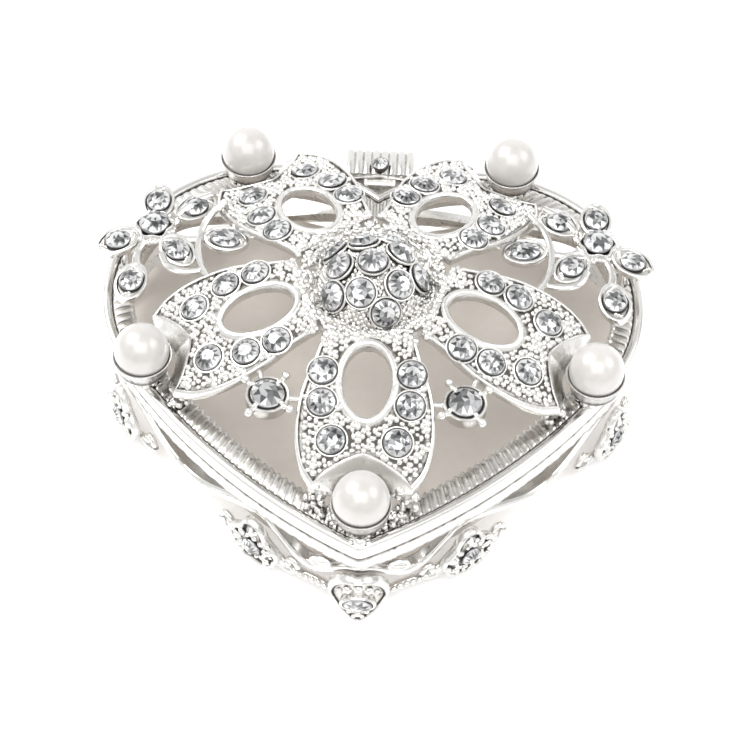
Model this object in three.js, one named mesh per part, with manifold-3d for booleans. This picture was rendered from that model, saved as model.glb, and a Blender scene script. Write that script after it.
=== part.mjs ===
// Heart-shaped openwork trinket box, in millimetres, +Z up.
// The heart's tip points to -Y, its two lobes to +Y, and the lid's hinge is in the cleft.
// Pieces are laid out from the ground under the axis of the lid's flower; the whole is then
// moved along Y, so that the origin is on the ground under the middle of the box.
import * as THREE from 'three';
import { mergeVertices } from 'three/addons/utils/BufferGeometryUtils.js';
import Module from 'manifold-3d';

const wasm = await Module();
wasm.setup();

// ---------------------------------------------------------------- driving dimensions
const BOX_WIDTH = 71.2; // across the two lobes
const BOX_LENGTH = 61.6; // from the tip to the back of the lobes
const BASE_HEIGHT = 12.8; // ground to the top of the base rim
const TIP_REACH = 34.5; // flower axis to the tip
const CLEFT_DEPTH = 4.5; // from the back of the lobes to the cleft between them
const FLANK_R = 83.3; // outer radius of the flanks between the tip and the lobes
const GAP = 0.3; // between pieces that are cut by, or seated on, a neighbour
const SEAT_GAP = 0.15; // under each stone, for its cement
const SEAT_PLAY = 0.15; // round each stone in its seat

const RIM_HEIGHT = 2.6;
const RIM_WIDTH = 1.9;
const EDGE = 0.4; // chamfer on the rims
const STRAP_HEIGHT = 1.8; // the scroll that runs round the base under its rim
const STRAP_DEPTH = 1.4;
const STRAP_RECESS = 0.4; // the scroll's face behind the rim's face
const STRAP_DROP = 3.8; // clear height under the rim, halfway between two bosses
const FIRST_BOSS = 15.5; // tip to the first boss, along the outline
const LAST_BAY = 1.3; // the bay at the cleft, in bays
const FLOOR_THICK = 1.0;
const FLOOR_LEVEL = 4.6; // underside of the floor plate

const BOSS_CLEARANCE = 0.8; // from the fans' tops to the rim
const BOSS_WIDTH = 8.6;
const BOSS_THICK = 1.5;
const BOSS_FOOT = 2.8;
const BOSS_STONE_R = 1.4;
const BOSS_STONE_LEVEL = 4.0;
const BOSS_STONE_HIGH = 1.3;
// one side of a fan, from its foot to its top, as [control x, control y, end x, end y], in shares
// of half its width and of its height
const FAN_SIDE = [[0.75, 0, 0.7, 0.22], [1.25, 0.35, 0.85, 0.55], [0.5, 0.85, 0, 1]];
const SHIELD_CLEARANCE = 0.6; // from the cartouche's top to the rim
const SHIELD_WIDTH = 7.8;
const SHIELD_THICK = 1.7;
const SHIELD_FOOT = 1.8;
const SHIELD_STONE_R = 1.6;
const SHIELD_STONE_LEVEL = 4.4;
const SHIELD_SEAT = 0.9; // depth of the seat for its stone
const SHIELD_SIDE = [[0.85, 0.18, 1, 0.45], [1.02, 0.82, 0, 1]]; // as FAN_SIDE

const LID_GAP = 0.3; // between the base rim and the closed lid
const BAND_HEIGHT = 2.4; // the lid's smooth outer band
const BAND_WIDTH = 1.3;
const BORDER_WIDTH = 2.9; // the lid's ridged border, inside the band
const BORDER_THICK = 1.1;
const BORDER_SINK = 0.2; // border under the top of the band

const DOME_TOP = 13.2; // crown of the petals' dome above the base rim
const DOME_EDGE = 4.81; // the dome above the base rim at the pearls
const PETAL_ANGLES = [-90, -18, 54, 126, 198];
const PEARL_INSETS = [4.35, 1.5, 2.4, 2.4, 1.5]; // outline to each pearl's axis, along its petal
const PETAL_THICK = 1.2;
const PETAL_HALF = 8.7; // half of a petal's greatest width
const PETAL_TIP_HALF = 6.2; // fork tips, to each side of the petal's axis
const PETAL_TIP_BACK = 2.55; // fork tips inside the pearl's axis
const FORK_DEPTH = 3.4;
const PETAL_ROOT = 8.6; // flower axis to the petals' inner ends
const PETAL_ROOT_HALF = 5.8;
// a petal's side between its root and its fork tip, in shares of its length and half its width
const PETAL_SIDE = [[0.16, 0.76], [0.42, 0.95], [0.67, 1], [0.87, 0.91]];
const FORK_BEND = 0.75; // where the fork's edge turns, in shares of its depth
const EYE_WIDTH = 7.4; // the oval opening in each petal
const EYE_ROOT_WALL = 1.35; // between the petal's inner end and the eye
const EYE_FORK_WALL = 4.15; // between the eye and the fork's notch
const FOOT_R = 0.9; // legs under fork tips and sprays
const FOOT_INSET = 1.1; // a fork tip's leg, from the tip's two edges

const PEARL_D = 7.0;
const PEARL_STAND = 1.5; // the pearls above the lid's band
const PEG_R = 0.5;
const PEG_REACH = 2.1; // peg's length inside the pearl
const PEG_PLAY = 0.15;
const CUP_FOOT_R = 1.4;
const CUP_NECK_R = 1.3;
const CUP_NECK_HIGH = 0.8;
const CUP_LIP_R = 2.7; // where the cup's lip meets the pearl
const CUP_WALL = 0.2;
const CUP_LIP_HIGH = 0.4;

const CLUSTER_R = 7.2; // ball that carries the centre stones
const CLUSTER_TOP = 15.5; // top of that ball above the base rim
const CLUSTER_STONE_R = 1.75;
const CLUSTER_STONE_HIGH = 1.5;
// how many stones, their tilt from the top and the direction of the first, in degrees
const CLUSTER_RINGS = [[1, 0, 0], [5, 34, -108], [5, 52, -72]];
const HUB_LAP = 0.9; // the hub under the petals' inner ends
const HUB_THICK = 1.5;

const CLAW_CLEARANCE = 0.78; // between the claw settings and the petals' greatest width
const CLAW_RISE = 0.38; // girdle of the claw-set stones above the dome
const CLAW_STONE_R = 2.2;
const CLAW_STONE_HIGH = 1.7;
const CLAW_WALL = 0.4;
const CLAW_LIP = 0.5; // the box's lip above the girdle
const CLAW_DEPTH = 1.6; // and its underside below
const CLAW_FLOOR = 0.6;
const PRONG_R = 0.5;
const ARM_WIDTH = 0.6; // the arms that hold the settings between the petals
const ARM_LENGTH = 2.2;

const SPRAY_ANGLE = 20.5; // direction of each spray from the flower axis
const SPRAY_INSET = 5.4; // outline to the centre of the spray
const SPRAY_LEVEL = 6.6; // underside of the sprays above the base rim
const SPRAY_THICK = 1.0;
const SPRAY_HUB_R = 2.2;
const STALK_WIDTH = 1.0;
const STALK_INSET = 0.1; // the stalks' faces inside the leaves' faces
const LEAF_HALF_LENGTH = 2.6;
const LEAF_HALF_WIDTH = 1.6;
// each leaf's direction from the spray's centre, in degrees, and its distance
const LEAVES = [[-28.5, 5.2], [-77, 9.5], [-130, 5.3], [145, 6.2], [93, 3.9], [190, 9.7]];
const SPRAY_LEGS = [[-33, 4.2], [86, 4.3]];

const HINGE_HALF = 4.6; // half of the hinge's width
const KNUCKLE_R = 1.2;
const PIN_R = 0.5;
const PIN_PLAY = 0.08;
const PIN_SETBACK = 0.7; // pin axis behind the lobes
const LID_KNUCKLE_HALF = 1.8;
const HINGE_LEAF_THICK = 1.2;
const HINGE_LEAF_LENGTH = 3.4; // in front of the pin
const HINGE_BLOCK_HIGH = 4.0;
const HINGE_STONE_R = 1.1;
const HINGE_STONE_HIGH = 0.9;
const HINGE_STONE_FRONT = 2.0; // its axis in front of the pin
const TIP_BEAD_R = 0.8;
const TIP_BEAD_INSET = 1.0; // its axis inside the tip
const TIP_BEAD_LIFT = 0.8; // its centre above the band, in radii

// ---------------------------------------------------------------- the heart
// the radius of two equal lobes that span the width and meet at the cleft
const LOBE_R = BOX_WIDTH / 2 + CLEFT_DEPTH - Math.sqrt(BOX_WIDTH * CLEFT_DEPTH);
const LOBE_X = BOX_WIDTH / 2 - LOBE_R;
const LOBE_Y = BOX_LENGTH - TIP_REACH - LOBE_R;
const lobe = new THREE.Vector2(LOBE_X, LOBE_Y);
const tip = new THREE.Vector2(0, -TIP_REACH);
// the flank is the arc through the tip that runs tangent into the lobe
const toLobe = lobe.clone().sub(tip);
const lobeSpan = FLANK_R - LOBE_R; // between the centres of lobe and flank
const forth = (FLANK_R ** 2 - lobeSpan ** 2 + toLobe.lengthSq()) / (2 * toLobe.length());
const aside = Math.sqrt(FLANK_R ** 2 - forth ** 2);
const turnLeft = new THREE.Vector2(-toLobe.y, toLobe.x).normalize();
const flank = tip.clone().addScaledVector(toLobe.normalize(), forth).addScaledVector(turnLeft, aside);
const MEET = Math.atan2(lobe.y - flank.y, lobe.x - flank.x); // where flank and lobe meet
const FLANK_STEPS = 8;
const LOBE_STEPS = 20;

const onArc = (centre, radius, angle) =>
  new THREE.Vector2(centre.x + radius * Math.cos(angle), centre.y + radius * Math.sin(angle));

// the right half of the outline, grown outward, from the tip to the cleft
function halfHeart(grow) {
  const flankR = FLANK_R + grow;
  const lobeR = LOBE_R + grow;
  const tipAngle = -Math.acos(-flank.x / flankR);
  const cleftAngle = Math.acos(-LOBE_X / lobeR);
  const points = [];
  for (let i = 0; i < FLANK_STEPS; i++) {
    points.push(onArc(flank, flankR, THREE.MathUtils.lerp(tipAngle, MEET, i / FLANK_STEPS)));
  }
  for (let i = 0; i <= LOBE_STEPS; i++) {
    points.push(onArc(lobe, lobeR, THREE.MathUtils.lerp(MEET, cleftAngle, i / LOBE_STEPS)));
  }
  points[0].x = 0;
  points[points.length - 1].x = 0;
  return points;
}

function heart(grow) {
  const right = halfHeart(grow);
  const left = right.slice(1, -1).reverse().map((p) => new THREE.Vector2(-p.x, p.y));
  return [...right, ...left];
}

// lengths along the outline, from the tip
const FLANK_START = -Math.acos(-flank.x / FLANK_R);
const FLANK_LENGTH = FLANK_R * (MEET - FLANK_START);
const LOBE_LENGTH = LOBE_R * (Math.acos(-LOBE_X / LOBE_R) - MEET);
const HALF_LENGTH = FLANK_LENGTH + LOBE_LENGTH;

// a point of the right half's outline and its outward direction, at a length from the tip
function along(length) {
  const onFlank = length < FLANK_LENGTH;
  const angle = onFlank
    ? FLANK_START + length / FLANK_R
    : MEET + (length - FLANK_LENGTH) / LOBE_R;
  const point = onFlank ? onArc(flank, FLANK_R, angle) : onArc(lobe, LOBE_R, angle);
  return { point, outward: new THREE.Vector2(Math.cos(angle), Math.sin(angle)) };
}

// how far a point is inside the outline, and the outward direction there
function insideAt(x, y) {
  const p = new THREE.Vector2(Math.abs(x), y);
  const byLobe = Math.atan2(p.y - lobe.y, p.x - lobe.x) > MEET;
  const outward = p.clone().sub(byLobe ? lobe : flank);
  const depth = (byLobe ? LOBE_R : FLANK_R) - outward.length();
  outward.normalize();
  outward.x *= Math.sign(x);
  return { depth, outward };
}

// flower axis to the outline in a given direction
function reachTo(angle) {
  const direction = onArc(new THREE.Vector2(), 1, angle);
  let low = 0;
  let high = BOX_WIDTH + BOX_LENGTH;
  for (let i = 0; i < 40; i++) {
    const middle = (low + high) / 2;
    const inside = insideAt(direction.x * middle, direction.y * middle).depth > 0;
    low = inside ? middle : low;
    high = inside ? high : middle;
  }
  return low;
}

// ---------------------------------------------------------------- places that follow
const DIRECTIONS = PETAL_ANGLES.map((degrees) => THREE.MathUtils.degToRad(degrees));
const REACHES = DIRECTIONS.map((angle, i) => reachTo(angle) - PEARL_INSETS[i]); // to the pearls
const RIM_BOTTOM = BASE_HEIGHT - RIM_HEIGHT;
const LID_BOTTOM = BASE_HEIGHT + LID_GAP;
const BAND_TOP = LID_BOTTOM + BAND_HEIGHT;
const BORDER_TOP = BAND_TOP - BORDER_SINK;
const PEARL_Z = BAND_TOP + PEARL_STAND + PEARL_D / 2;
const CLUSTER_Z = BASE_HEIGHT + CLUSTER_TOP;
const PIN_Y = LOBE_Y + LOBE_R + PIN_SETBACK;
const PIN_Z = BASE_HEIGHT + LID_GAP / 2;
const BLOCK_BOTTOM = BASE_HEIGHT - HINGE_BLOCK_HIGH;
const SHIELD_FACE = -TIP_REACH - SHIELD_THICK;
const CLAW_TURN = Math.PI / 5; // half the angle between two petals
const CLAW_R = CLAW_STONE_R + SEAT_PLAY + CLAW_WALL;
const CLAW_REACH = (PETAL_HALF + CLAW_R + CLAW_CLEARANCE) / Math.sin(CLAW_TURN);
const BOSS_HEIGHT = RIM_BOTTOM - BOSS_CLEARANCE;
const SHIELD_HEIGHT = RIM_BOTTOM - SHIELD_CLEARANCE;

// ---------------------------------------------------------------- solids
function solid(geometry) {
  const bare = geometry.clone();
  bare.deleteAttribute('normal');
  bare.deleteAttribute('uv');
  const merged = mergeVertices(bare);
  const vertProperties = new Float32Array(merged.attributes.position.array);
  const triVerts = new Uint32Array(merged.index.array);
  return new wasm.Manifold(new wasm.Mesh({ numProp: 3, vertProperties, triVerts }));
}

function shapeOf(manifold) {
  const mesh = manifold.getMesh();
  const geometry = new THREE.BufferGeometry();
  geometry.setAttribute('position', new THREE.BufferAttribute(mesh.vertProperties, 3));
  geometry.setIndex(new THREE.BufferAttribute(mesh.triVerts, 1));
  return geometry;
}

const join = (first, ...rest) => shapeOf(rest.reduce((sum, g) => sum.add(solid(g)), solid(first)));
const cut = (first, ...rest) => shapeOf(rest.reduce((left, g) => left.subtract(solid(g)), solid(first)));

// a closed ring round the heart; the section is [grow, height] points, counter-clockwise, and
// lift(length) raises it along the way
function heartRing(section, lift = () => 0) {
  const loops = section.map(([grow]) => heart(grow));
  const count = loops[0].length;
  const base = heart(0);
  const half = count / 2;
  const lengths = [0];
  for (let i = 1; i <= half; i++) {
    lengths.push(lengths[i - 1] + base[i].distanceTo(base[i - 1]));
  }
  const positions = [];
  section.forEach(([, height], k) => {
    for (let i = 0; i < count; i++) {
      const length = lengths[i <= half ? i : count - i];
      positions.push(loops[k][i].x, loops[k][i].y, height + lift(length));
    }
  });
  const index = [];
  for (let k = 0; k < section.length; k++) {
    const next = (k + 1) % section.length;
    for (let i = 0; i < count; i++) {
      const j = (i + 1) % count;
      const a = k * count + i;
      const b = k * count + j;
      const c = next * count + j;
      const d = next * count + i;
      index.push(a, b, c, a, c, d);
    }
  }
  const geometry = new THREE.BufferGeometry();
  geometry.setAttribute('position', new THREE.Float32BufferAttribute(positions, 3));
  geometry.setIndex(index);
  return geometry;
}

function plate(points, low, high) {
  const geometry = new THREE.ExtrudeGeometry(new THREE.Shape(points), {
    depth: high - low,
    bevelEnabled: false,
  });
  return geometry.translate(0, 0, low);
}

function box(x0, x1, y0, y1, z0, z1) {
  const geometry = new THREE.BoxGeometry(x1 - x0, y1 - y0, z1 - z0);
  return geometry.translate((x0 + x1) / 2, (y0 + y1) / 2, (z0 + z1) / 2);
}

// a cylinder along Z between two heights
function post(radius, low, high, x = 0, y = 0, sides = 12) {
  const geometry = new THREE.CylinderGeometry(radius, radius, high - low, sides);
  return geometry.rotateX(Math.PI / 2).translate(x, y, (low + high) / 2);
}

// a cylinder along X between two places
function rod(radius, x0, x1, y, z, sides = 16) {
  const geometry = new THREE.CylinderGeometry(radius, radius, x1 - x0, sides);
  return geometry.rotateZ(Math.PI / 2).translate((x0 + x1) / 2, y, z);
}

// a turned solid about Z from [radius, height] points that start and end on the axis
function turned(profile, sides = 12) {
  const points = profile.map(([r, h]) => new THREE.Vector2(r, h));
  return new THREE.LatheGeometry(points, sides).rotateX(Math.PI / 2);
}

// a flat-backed stone with a girdle and a table, standing on z = 0
function stone(radius, high, sides = 12) {
  const back = radius * 0.8;
  const table = radius * 0.6;
  const girdle = high * 0.4;
  return turned([[0, 0], [back, 0], [radius, girdle], [table, high], [0, high]], sides);
}

// a closed outline that stands on y = 0, the same on both sides of x = 0
function twoSided(foot, side, half, height) {
  const shape = new THREE.Shape();
  shape.moveTo(-foot / 2, 0);
  shape.lineTo(foot / 2, 0);
  const curves = side.map(([cx, cy, x, y]) => [cx * half, cy * height, x * half, y * height]);
  for (const curve of curves) {
    shape.quadraticCurveTo(...curve);
  }
  const starts = [[foot / 2, 0], ...curves.map(([, , x, y]) => [x, y])];
  for (let i = curves.length - 1; i >= 0; i--) {
    const [cx, cy] = curves[i];
    const [x, y] = starts[i];
    shape.quadraticCurveTo(-cx, cy, -x, y);
  }
  return shape;
}

// turns local X along the outline, Y up and Z outward, at a length from the tip on either side
function facing(side, length, grow, level) {
  const { point, outward } = along(length);
  point.addScaledVector(outward, grow);
  const matrix = new THREE.Matrix4().makeBasis(
    new THREE.Vector3(-outward.y, side * outward.x, 0),
    new THREE.Vector3(0, 0, 1),
    new THREE.Vector3(side * outward.x, outward.y, 0),
  );
  return matrix.setPosition(side * point.x, point.y, level);
}

// ---------------------------------------------------------------- the assembly
const silver = { color: 0xeeece6, roughness: 0.28, metalness: 1 };
const satin = { color: 0xc9bfb4, roughness: 0.55, metalness: 0.8 };
const crystal = { color: 0xf4f7fa, roughness: 0.05, metalness: 0 };
const pearl = { color: 0xf7f5f2, roughness: 0.22, metalness: 0 };

const group = new THREE.Group();
group.name = 'heart_trinket_box';

function add(name, geometry, look) {
  const mesh = new THREE.Mesh(geometry, new THREE.MeshStandardMaterial(look));
  mesh.name = name;
  group.add(mesh);
}

// ---------------------------------------------------------------- base
const BAY = (HALF_LENGTH - FIRST_BOSS) / (2 + LAST_BAY);
const BOSSES = [FIRST_BOSS, FIRST_BOSS + BAY, FIRST_BOSS + 2 * BAY];
const STRAP_TOP = RIM_BOTTOM - STRAP_HEIGHT / 2 + EDGE; // the scroll's middle where it meets the rim

// the scroll's fall below its highest line: none at the tip, each boss and the cleft
function strapFall(length) {
  const peaks = [0, ...BOSSES, HALF_LENGTH];
  const bay = Math.min(peaks.findLastIndex((peak) => peak <= length), peaks.length - 2);
  const start = peaks[bay];
  const end = peaks[bay + 1];
  const turn = (2 * Math.PI * (length - start)) / (end - start);
  return (-(STRAP_DROP + STRAP_HEIGHT / 2) * (1 - Math.cos(turn))) / 2;
}

function baseCasting() {
  const rim = heartRing([
    [-RIM_WIDTH, RIM_BOTTOM],
    [-EDGE, RIM_BOTTOM],
    [0, RIM_BOTTOM + EDGE],
    [0, BASE_HEIGHT - EDGE],
    [-EDGE, BASE_HEIGHT],
    [-RIM_WIDTH, BASE_HEIGHT],
  ]);
  const inner = -STRAP_RECESS - STRAP_DEPTH;
  const half = STRAP_HEIGHT / 2;
  const strap = heartRing([
    [inner, STRAP_TOP - half],
    [-STRAP_RECESS, STRAP_TOP - half],
    [-STRAP_RECESS, STRAP_TOP + half],
    [inner, STRAP_TOP + half],
  ], strapFall);
  return join(rim, strap);
}

function floorPlate() {
  const grow = -STRAP_RECESS - STRAP_DEPTH - GAP;
  return plate(heart(grow), FLOOR_LEVEL, FLOOR_LEVEL + FLOOR_THICK);
}

// a fan, narrow at the top and scalloped at its sides, that stands on a small flat foot
function fan() {
  const body = new THREE.ExtrudeGeometry(twoSided(BOSS_FOOT, FAN_SIDE, BOSS_WIDTH / 2, BOSS_HEIGHT), {
    depth: BOSS_THICK,
    bevelEnabled: false,
    curveSegments: 4,
  });
  const seat = post(BOSS_STONE_R + SEAT_PLAY, BOSS_THICK / 2, 2 * BOSS_THICK, 0, BOSS_STONE_LEVEL);
  return cut(body, seat);
}

function addBosses(side, hand) {
  const names = ['front', 'side', 'rear'];
  BOSSES.forEach((length, i) => {
    const place = facing(side, length, GAP - STRAP_RECESS, 0);
    add(`boss_${names[i]}_${hand}`, fan().applyMatrix4(place), silver);
    const gem = stone(BOSS_STONE_R, BOSS_STONE_HIGH);
    gem.translate(0, BOSS_STONE_LEVEL, BOSS_THICK / 2 + SEAT_GAP);
    add(`boss_stone_${names[i]}_${hand}`, gem.applyMatrix4(place), crystal);
  });
}

// the cartouche at the tip: pointed below, and bent round the heart's corner
function shield() {
  const shape = twoSided(SHIELD_FOOT, SHIELD_SIDE, SHIELD_WIDTH / 2, SHIELD_HEIGHT);
  const depth = SHIELD_THICK + SHIELD_WIDTH / 2;
  const body = new THREE.ExtrudeGeometry(shape, { depth, bevelEnabled: false, curveSegments: 6 });
  body.rotateX(Math.PI / 2).translate(0, SHIELD_FACE + depth, 0);
  const corner = plate(heart(GAP - STRAP_RECESS), -GAP, BASE_HEIGHT);
  const skin = plate(heart(SHIELD_THICK), 0, BASE_HEIGHT);
  const seat = post(SHIELD_STONE_R + SEAT_PLAY, 0, BOSS_STONE_HIGH);
  seat.rotateX(Math.PI / 2).translate(0, SHIELD_FACE + SHIELD_SEAT, SHIELD_STONE_LEVEL);
  return cut(shapeOf(solid(body).intersect(solid(skin))), corner, seat);
}

function shieldStone() {
  const gem = stone(SHIELD_STONE_R, BOSS_STONE_HIGH).rotateX(Math.PI / 2);
  return gem.translate(0, SHIELD_FACE + SHIELD_SEAT - SEAT_GAP, SHIELD_STONE_LEVEL);
}

// the base half of the hinge: a block in the cleft with two knuckles for the pin
function hingeBase() {
  const block = box(-HINGE_HALF, HINGE_HALF, LOBE_Y, PIN_Y, BLOCK_BOTTOM, BASE_HEIGHT - GAP);
  const outline = plate(heart(GAP), 0, BASE_HEIGHT);
  const knuckles = rod(KNUCKLE_R, -HINGE_HALF, HINGE_HALF, PIN_Y, PIN_Z);
  const slotHalf = LID_KNUCKLE_HALF + GAP;
  const slotFront = PIN_Y - KNUCKLE_R - GAP;
  const slot = box(-slotHalf, slotHalf, slotFront, PIN_Y + BOX_LENGTH, 0, 2 * BASE_HEIGHT);
  return cut(join(cut(block, outline), knuckles), slot, bore());
}

const bore = () => rod(PIN_R + PIN_PLAY, -BOX_WIDTH, BOX_WIDTH, PIN_Y, PIN_Z);

// ---------------------------------------------------------------- lid
function lidCasting() {
  const inner = -BAND_WIDTH - BORDER_WIDTH;
  const wall = -BAND_WIDTH - GAP;
  return heartRing([
    [wall, LID_BOTTOM],
    [-EDGE, LID_BOTTOM],
    [0, LID_BOTTOM + EDGE],
    [0, BAND_TOP - EDGE],
    [-EDGE, BAND_TOP],
    [-BAND_WIDTH, BAND_TOP],
    [-BAND_WIDTH - BORDER_SINK, BORDER_TOP],
    [inner, BORDER_TOP],
    [inner, BORDER_TOP - BORDER_THICK],
    [wall, BORDER_TOP - BORDER_THICK],
  ]);
}

// the dome that the petals lie on
function domeAt(x, y) {
  const share = (x * x + y * y) / Math.max(...REACHES) ** 2;
  return BASE_HEIGHT + THREE.MathUtils.lerp(DOME_TOP, DOME_EDGE, share);
}

// a petal along +X: a forked leaf with an oval eye, bent over the dome
function petal(reach, angle) {
  const tipX = reach - PETAL_TIP_BACK;
  const length = tipX - PETAL_ROOT;
  const side = new THREE.SplineCurve([
    new THREE.Vector2(PETAL_ROOT, PETAL_ROOT_HALF),
    ...PETAL_SIDE.map(([x, y]) => new THREE.Vector2(PETAL_ROOT + length * x, PETAL_HALF * y)),
    new THREE.Vector2(tipX, PETAL_TIP_HALF),
  ]).getPoints(14);
  const bend = new THREE.Vector2(tipX - FORK_DEPTH * FORK_BEND, PETAL_TIP_HALF / 2);
  const fork = new THREE.QuadraticBezierCurve(
    side[side.length - 1], bend, new THREE.Vector2(tipX - FORK_DEPTH, 0),
  ).getPoints(4).slice(1);
  const upper = [...side, ...fork];
  const lower = upper.slice(0, -1).reverse().map((p) => new THREE.Vector2(p.x, -p.y));
  const shape = new THREE.Shape([...upper, ...lower].reverse());
  const eye = new THREE.Path();
  const eyeStart = PETAL_ROOT + EYE_ROOT_WALL;
  const eyeEnd = tipX - FORK_DEPTH - EYE_FORK_WALL;
  const eyeCentre = (eyeStart + eyeEnd) / 2;
  eye.absellipse(eyeCentre, 0, (eyeEnd - eyeStart) / 2, EYE_WIDTH / 2, 0, 2 * Math.PI);
  shape.holes.push(eye);
  const body = new THREE.ExtrudeGeometry(shape, {
    depth: PETAL_THICK,
    bevelEnabled: false,
    curveSegments: 12,
  });
  body.rotateZ(angle);
  const p = body.attributes.position;
  for (let i = 0; i < p.count; i++) {
    p.setZ(i, domeAt(p.getX(i), p.getY(i)) - PETAL_THICK + p.getZ(i));
  }
  // legs from the fork tip nearest the outline, or from both, to the border
  const feet = [1, -1].map((hand) => {
    const foot = new THREE.Vector2(tipX - FOOT_INSET, hand * (PETAL_TIP_HALF - FOOT_INSET));
    return foot.rotateAround(new THREE.Vector2(), angle);
  });
  const depths = feet.map((foot) => insideAt(foot.x, foot.y).depth);
  const outer = feet.filter((foot, i) => depths[i] < Math.min(...depths) + FOOT_R);
  return join(body, ...outer.map(leg));
}

// a leg from under the dome at a point down to the border, leaning out where the border is not below
function leg(foot) {
  const { depth, outward } = insideAt(foot.x, foot.y);
  const lean = Math.max(0, depth - (BAND_WIDTH + BORDER_WIDTH - FOOT_R));
  const top = domeAt(foot.x, foot.y) - PETAL_THICK / 2;
  const stand = foot.clone().addScaledVector(outward, lean);
  const upper = post(FOOT_R, top - GAP, top, foot.x, foot.y, 8);
  const lower = post(FOOT_R, BAND_TOP, BAND_TOP + GAP, stand.x, stand.y, 8);
  return shapeOf(wasm.Manifold.hull([solid(upper), solid(lower)]));
}

// a cup on a short stem, with a peg that the pearl is fixed on
function pearlCup() {
  const nest = (r) => PEARL_Z - Math.sqrt((PEARL_D / 2 + PEG_PLAY) ** 2 - r * r);
  const middle = (PEG_R + CUP_LIP_R) / 2;
  return turned([
    [0, BAND_TOP],
    [CUP_FOOT_R, BAND_TOP],
    [CUP_NECK_R, BAND_TOP + CUP_NECK_HIGH],
    [CUP_LIP_R + CUP_WALL, nest(CUP_LIP_R) - CUP_LIP_HIGH],
    [CUP_LIP_R, nest(CUP_LIP_R)],
    [middle, nest(middle)],
    [PEG_R, nest(PEG_R)],
    [PEG_R, nest(0) + PEG_REACH],
    [0, nest(0) + PEG_REACH],
  ]);
}

function pearlBead() {
  const ball = new THREE.SphereGeometry(PEARL_D / 2, 18, 12).rotateX(Math.PI / 2);
  const hole = post(PEG_R + PEG_PLAY, -PEARL_D, PEG_REACH + GAP - PEARL_D / 2, 0, 0, 8);
  return cut(ball, hole).translate(0, 0, PEARL_Z);
}

// the petals, and their pearls in cups; the petals' geometries are returned by name
function addPetals() {
  const names = ['front', 'right', 'back_right', 'back_left', 'left'];
  const petals = {};
  DIRECTIONS.forEach((angle, i) => {
    const spot = onArc(new THREE.Vector2(), REACHES[i], angle);
    petals[names[i]] = petal(REACHES[i], angle);
    add(`petal_${names[i]}`, petals[names[i]], silver);
    add(`pearl_cup_${names[i]}`, pearlCup().translate(spot.x, spot.y, 0), silver);
    add(`pearl_${names[i]}`, pearlBead().translate(spot.x, spot.y, 0), pearl);
  });
  return petals;
}

// the hub disc that the petals' inner ends sit on, and the ball that carries the stones
function clusterDome() {
  const hubR = PETAL_ROOT + HUB_LAP;
  const hubTop = domeAt(hubR, 0) - PETAL_THICK - GAP;
  const centre = CLUSTER_Z - CLUSTER_R;
  const start = Math.acos((hubTop - centre) / CLUSTER_R);
  const profile = [[0, hubTop - HUB_THICK], [hubR, hubTop - HUB_THICK], [hubR, hubTop]];
  const steps = 6;
  for (let i = 0; i <= steps; i++) {
    const polar = start * (1 - i / steps);
    profile.push([CLUSTER_R * Math.sin(polar), centre + CLUSTER_R * Math.cos(polar)]);
  }
  profile[profile.length - 1][0] = 0;
  return turned(profile, 20);
}

// the stones on the ball: one on top and two rings of five
function addClusterStones() {
  let number = 1;
  for (const [count, polar, first] of CLUSTER_RINGS) {
    for (let i = 0; i < count; i++) {
      const gem = stone(CLUSTER_STONE_R, CLUSTER_STONE_HIGH).translate(0, 0, CLUSTER_R + SEAT_GAP);
      gem.rotateY(THREE.MathUtils.degToRad(polar));
      gem.rotateZ(THREE.MathUtils.degToRad(first + (360 / count) * i));
      gem.translate(0, 0, CLUSTER_Z - CLUSTER_R);
      add(`cluster_stone_${number}`, gem, crystal);
      number += 1;
    }
  }
}

// a round box setting with four prongs, about its own axis
function clawSetting() {
  const inner = CLAW_R - CLAW_WALL;
  const cup = turned([
    [0, -CLAW_DEPTH],
    [CLAW_R, -CLAW_DEPTH],
    [CLAW_R, CLAW_LIP],
    [inner, CLAW_LIP],
    [inner, CLAW_FLOOR - CLAW_DEPTH],
    [0, CLAW_FLOOR - CLAW_DEPTH],
  ], 16);
  const extras = [];
  for (let i = 0; i < 4; i++) {
    const turn = Math.PI / 4 + (i * Math.PI) / 2;
    const prong = new THREE.SphereGeometry(PRONG_R, 8, 6).translate(CLAW_R, 0, CLAW_LIP);
    extras.push(prong.rotateZ(turn));
  }
  // an arm square to each petal beside it, within the petal's thickness at its edge
  const edge = domeAt(CLAW_REACH * Math.cos(CLAW_TURN), PETAL_HALF) - domeAt(CLAW_REACH, 0) - CLAW_RISE;
  const low = edge - PETAL_THICK * 0.8;
  const high = edge - PETAL_THICK * 0.3;
  for (const hand of [1, -1]) {
    const start = CLAW_R - CLAW_WALL / 2;
    const arm = box(start, CLAW_R + ARM_LENGTH, -ARM_WIDTH / 2, ARM_WIDTH / 2, low, high);
    extras.push(arm.rotateZ(hand * (Math.PI / 2 + CLAW_TURN)));
  }
  return join(cup, ...extras);
}

// the claw settings beside the front petal, with their arms cut to the petals
function addClaws(petals) {
  for (const [hand, side] of [['right', 1], ['left', -1]]) {
    const angle = DIRECTIONS[0] + side * CLAW_TURN;
    const spot = onArc(new THREE.Vector2(), CLAW_REACH, angle);
    const level = domeAt(CLAW_REACH, 0) + CLAW_RISE;
    const place = new THREE.Matrix4().makeRotationZ(angle).setPosition(spot.x, spot.y, level);
    const setting = clawSetting().applyMatrix4(place);
    add(`claw_setting_${hand}`, cut(setting, petals.front, petals[hand]), silver);
    const gem = stone(CLAW_STONE_R, CLAW_STONE_HIGH, 16);
    gem.translate(0, 0, CLAW_FLOOR - CLAW_DEPTH + SEAT_GAP);
    add(`claw_stone_${hand}`, gem.applyMatrix4(place), crystal);
  }
}

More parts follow.
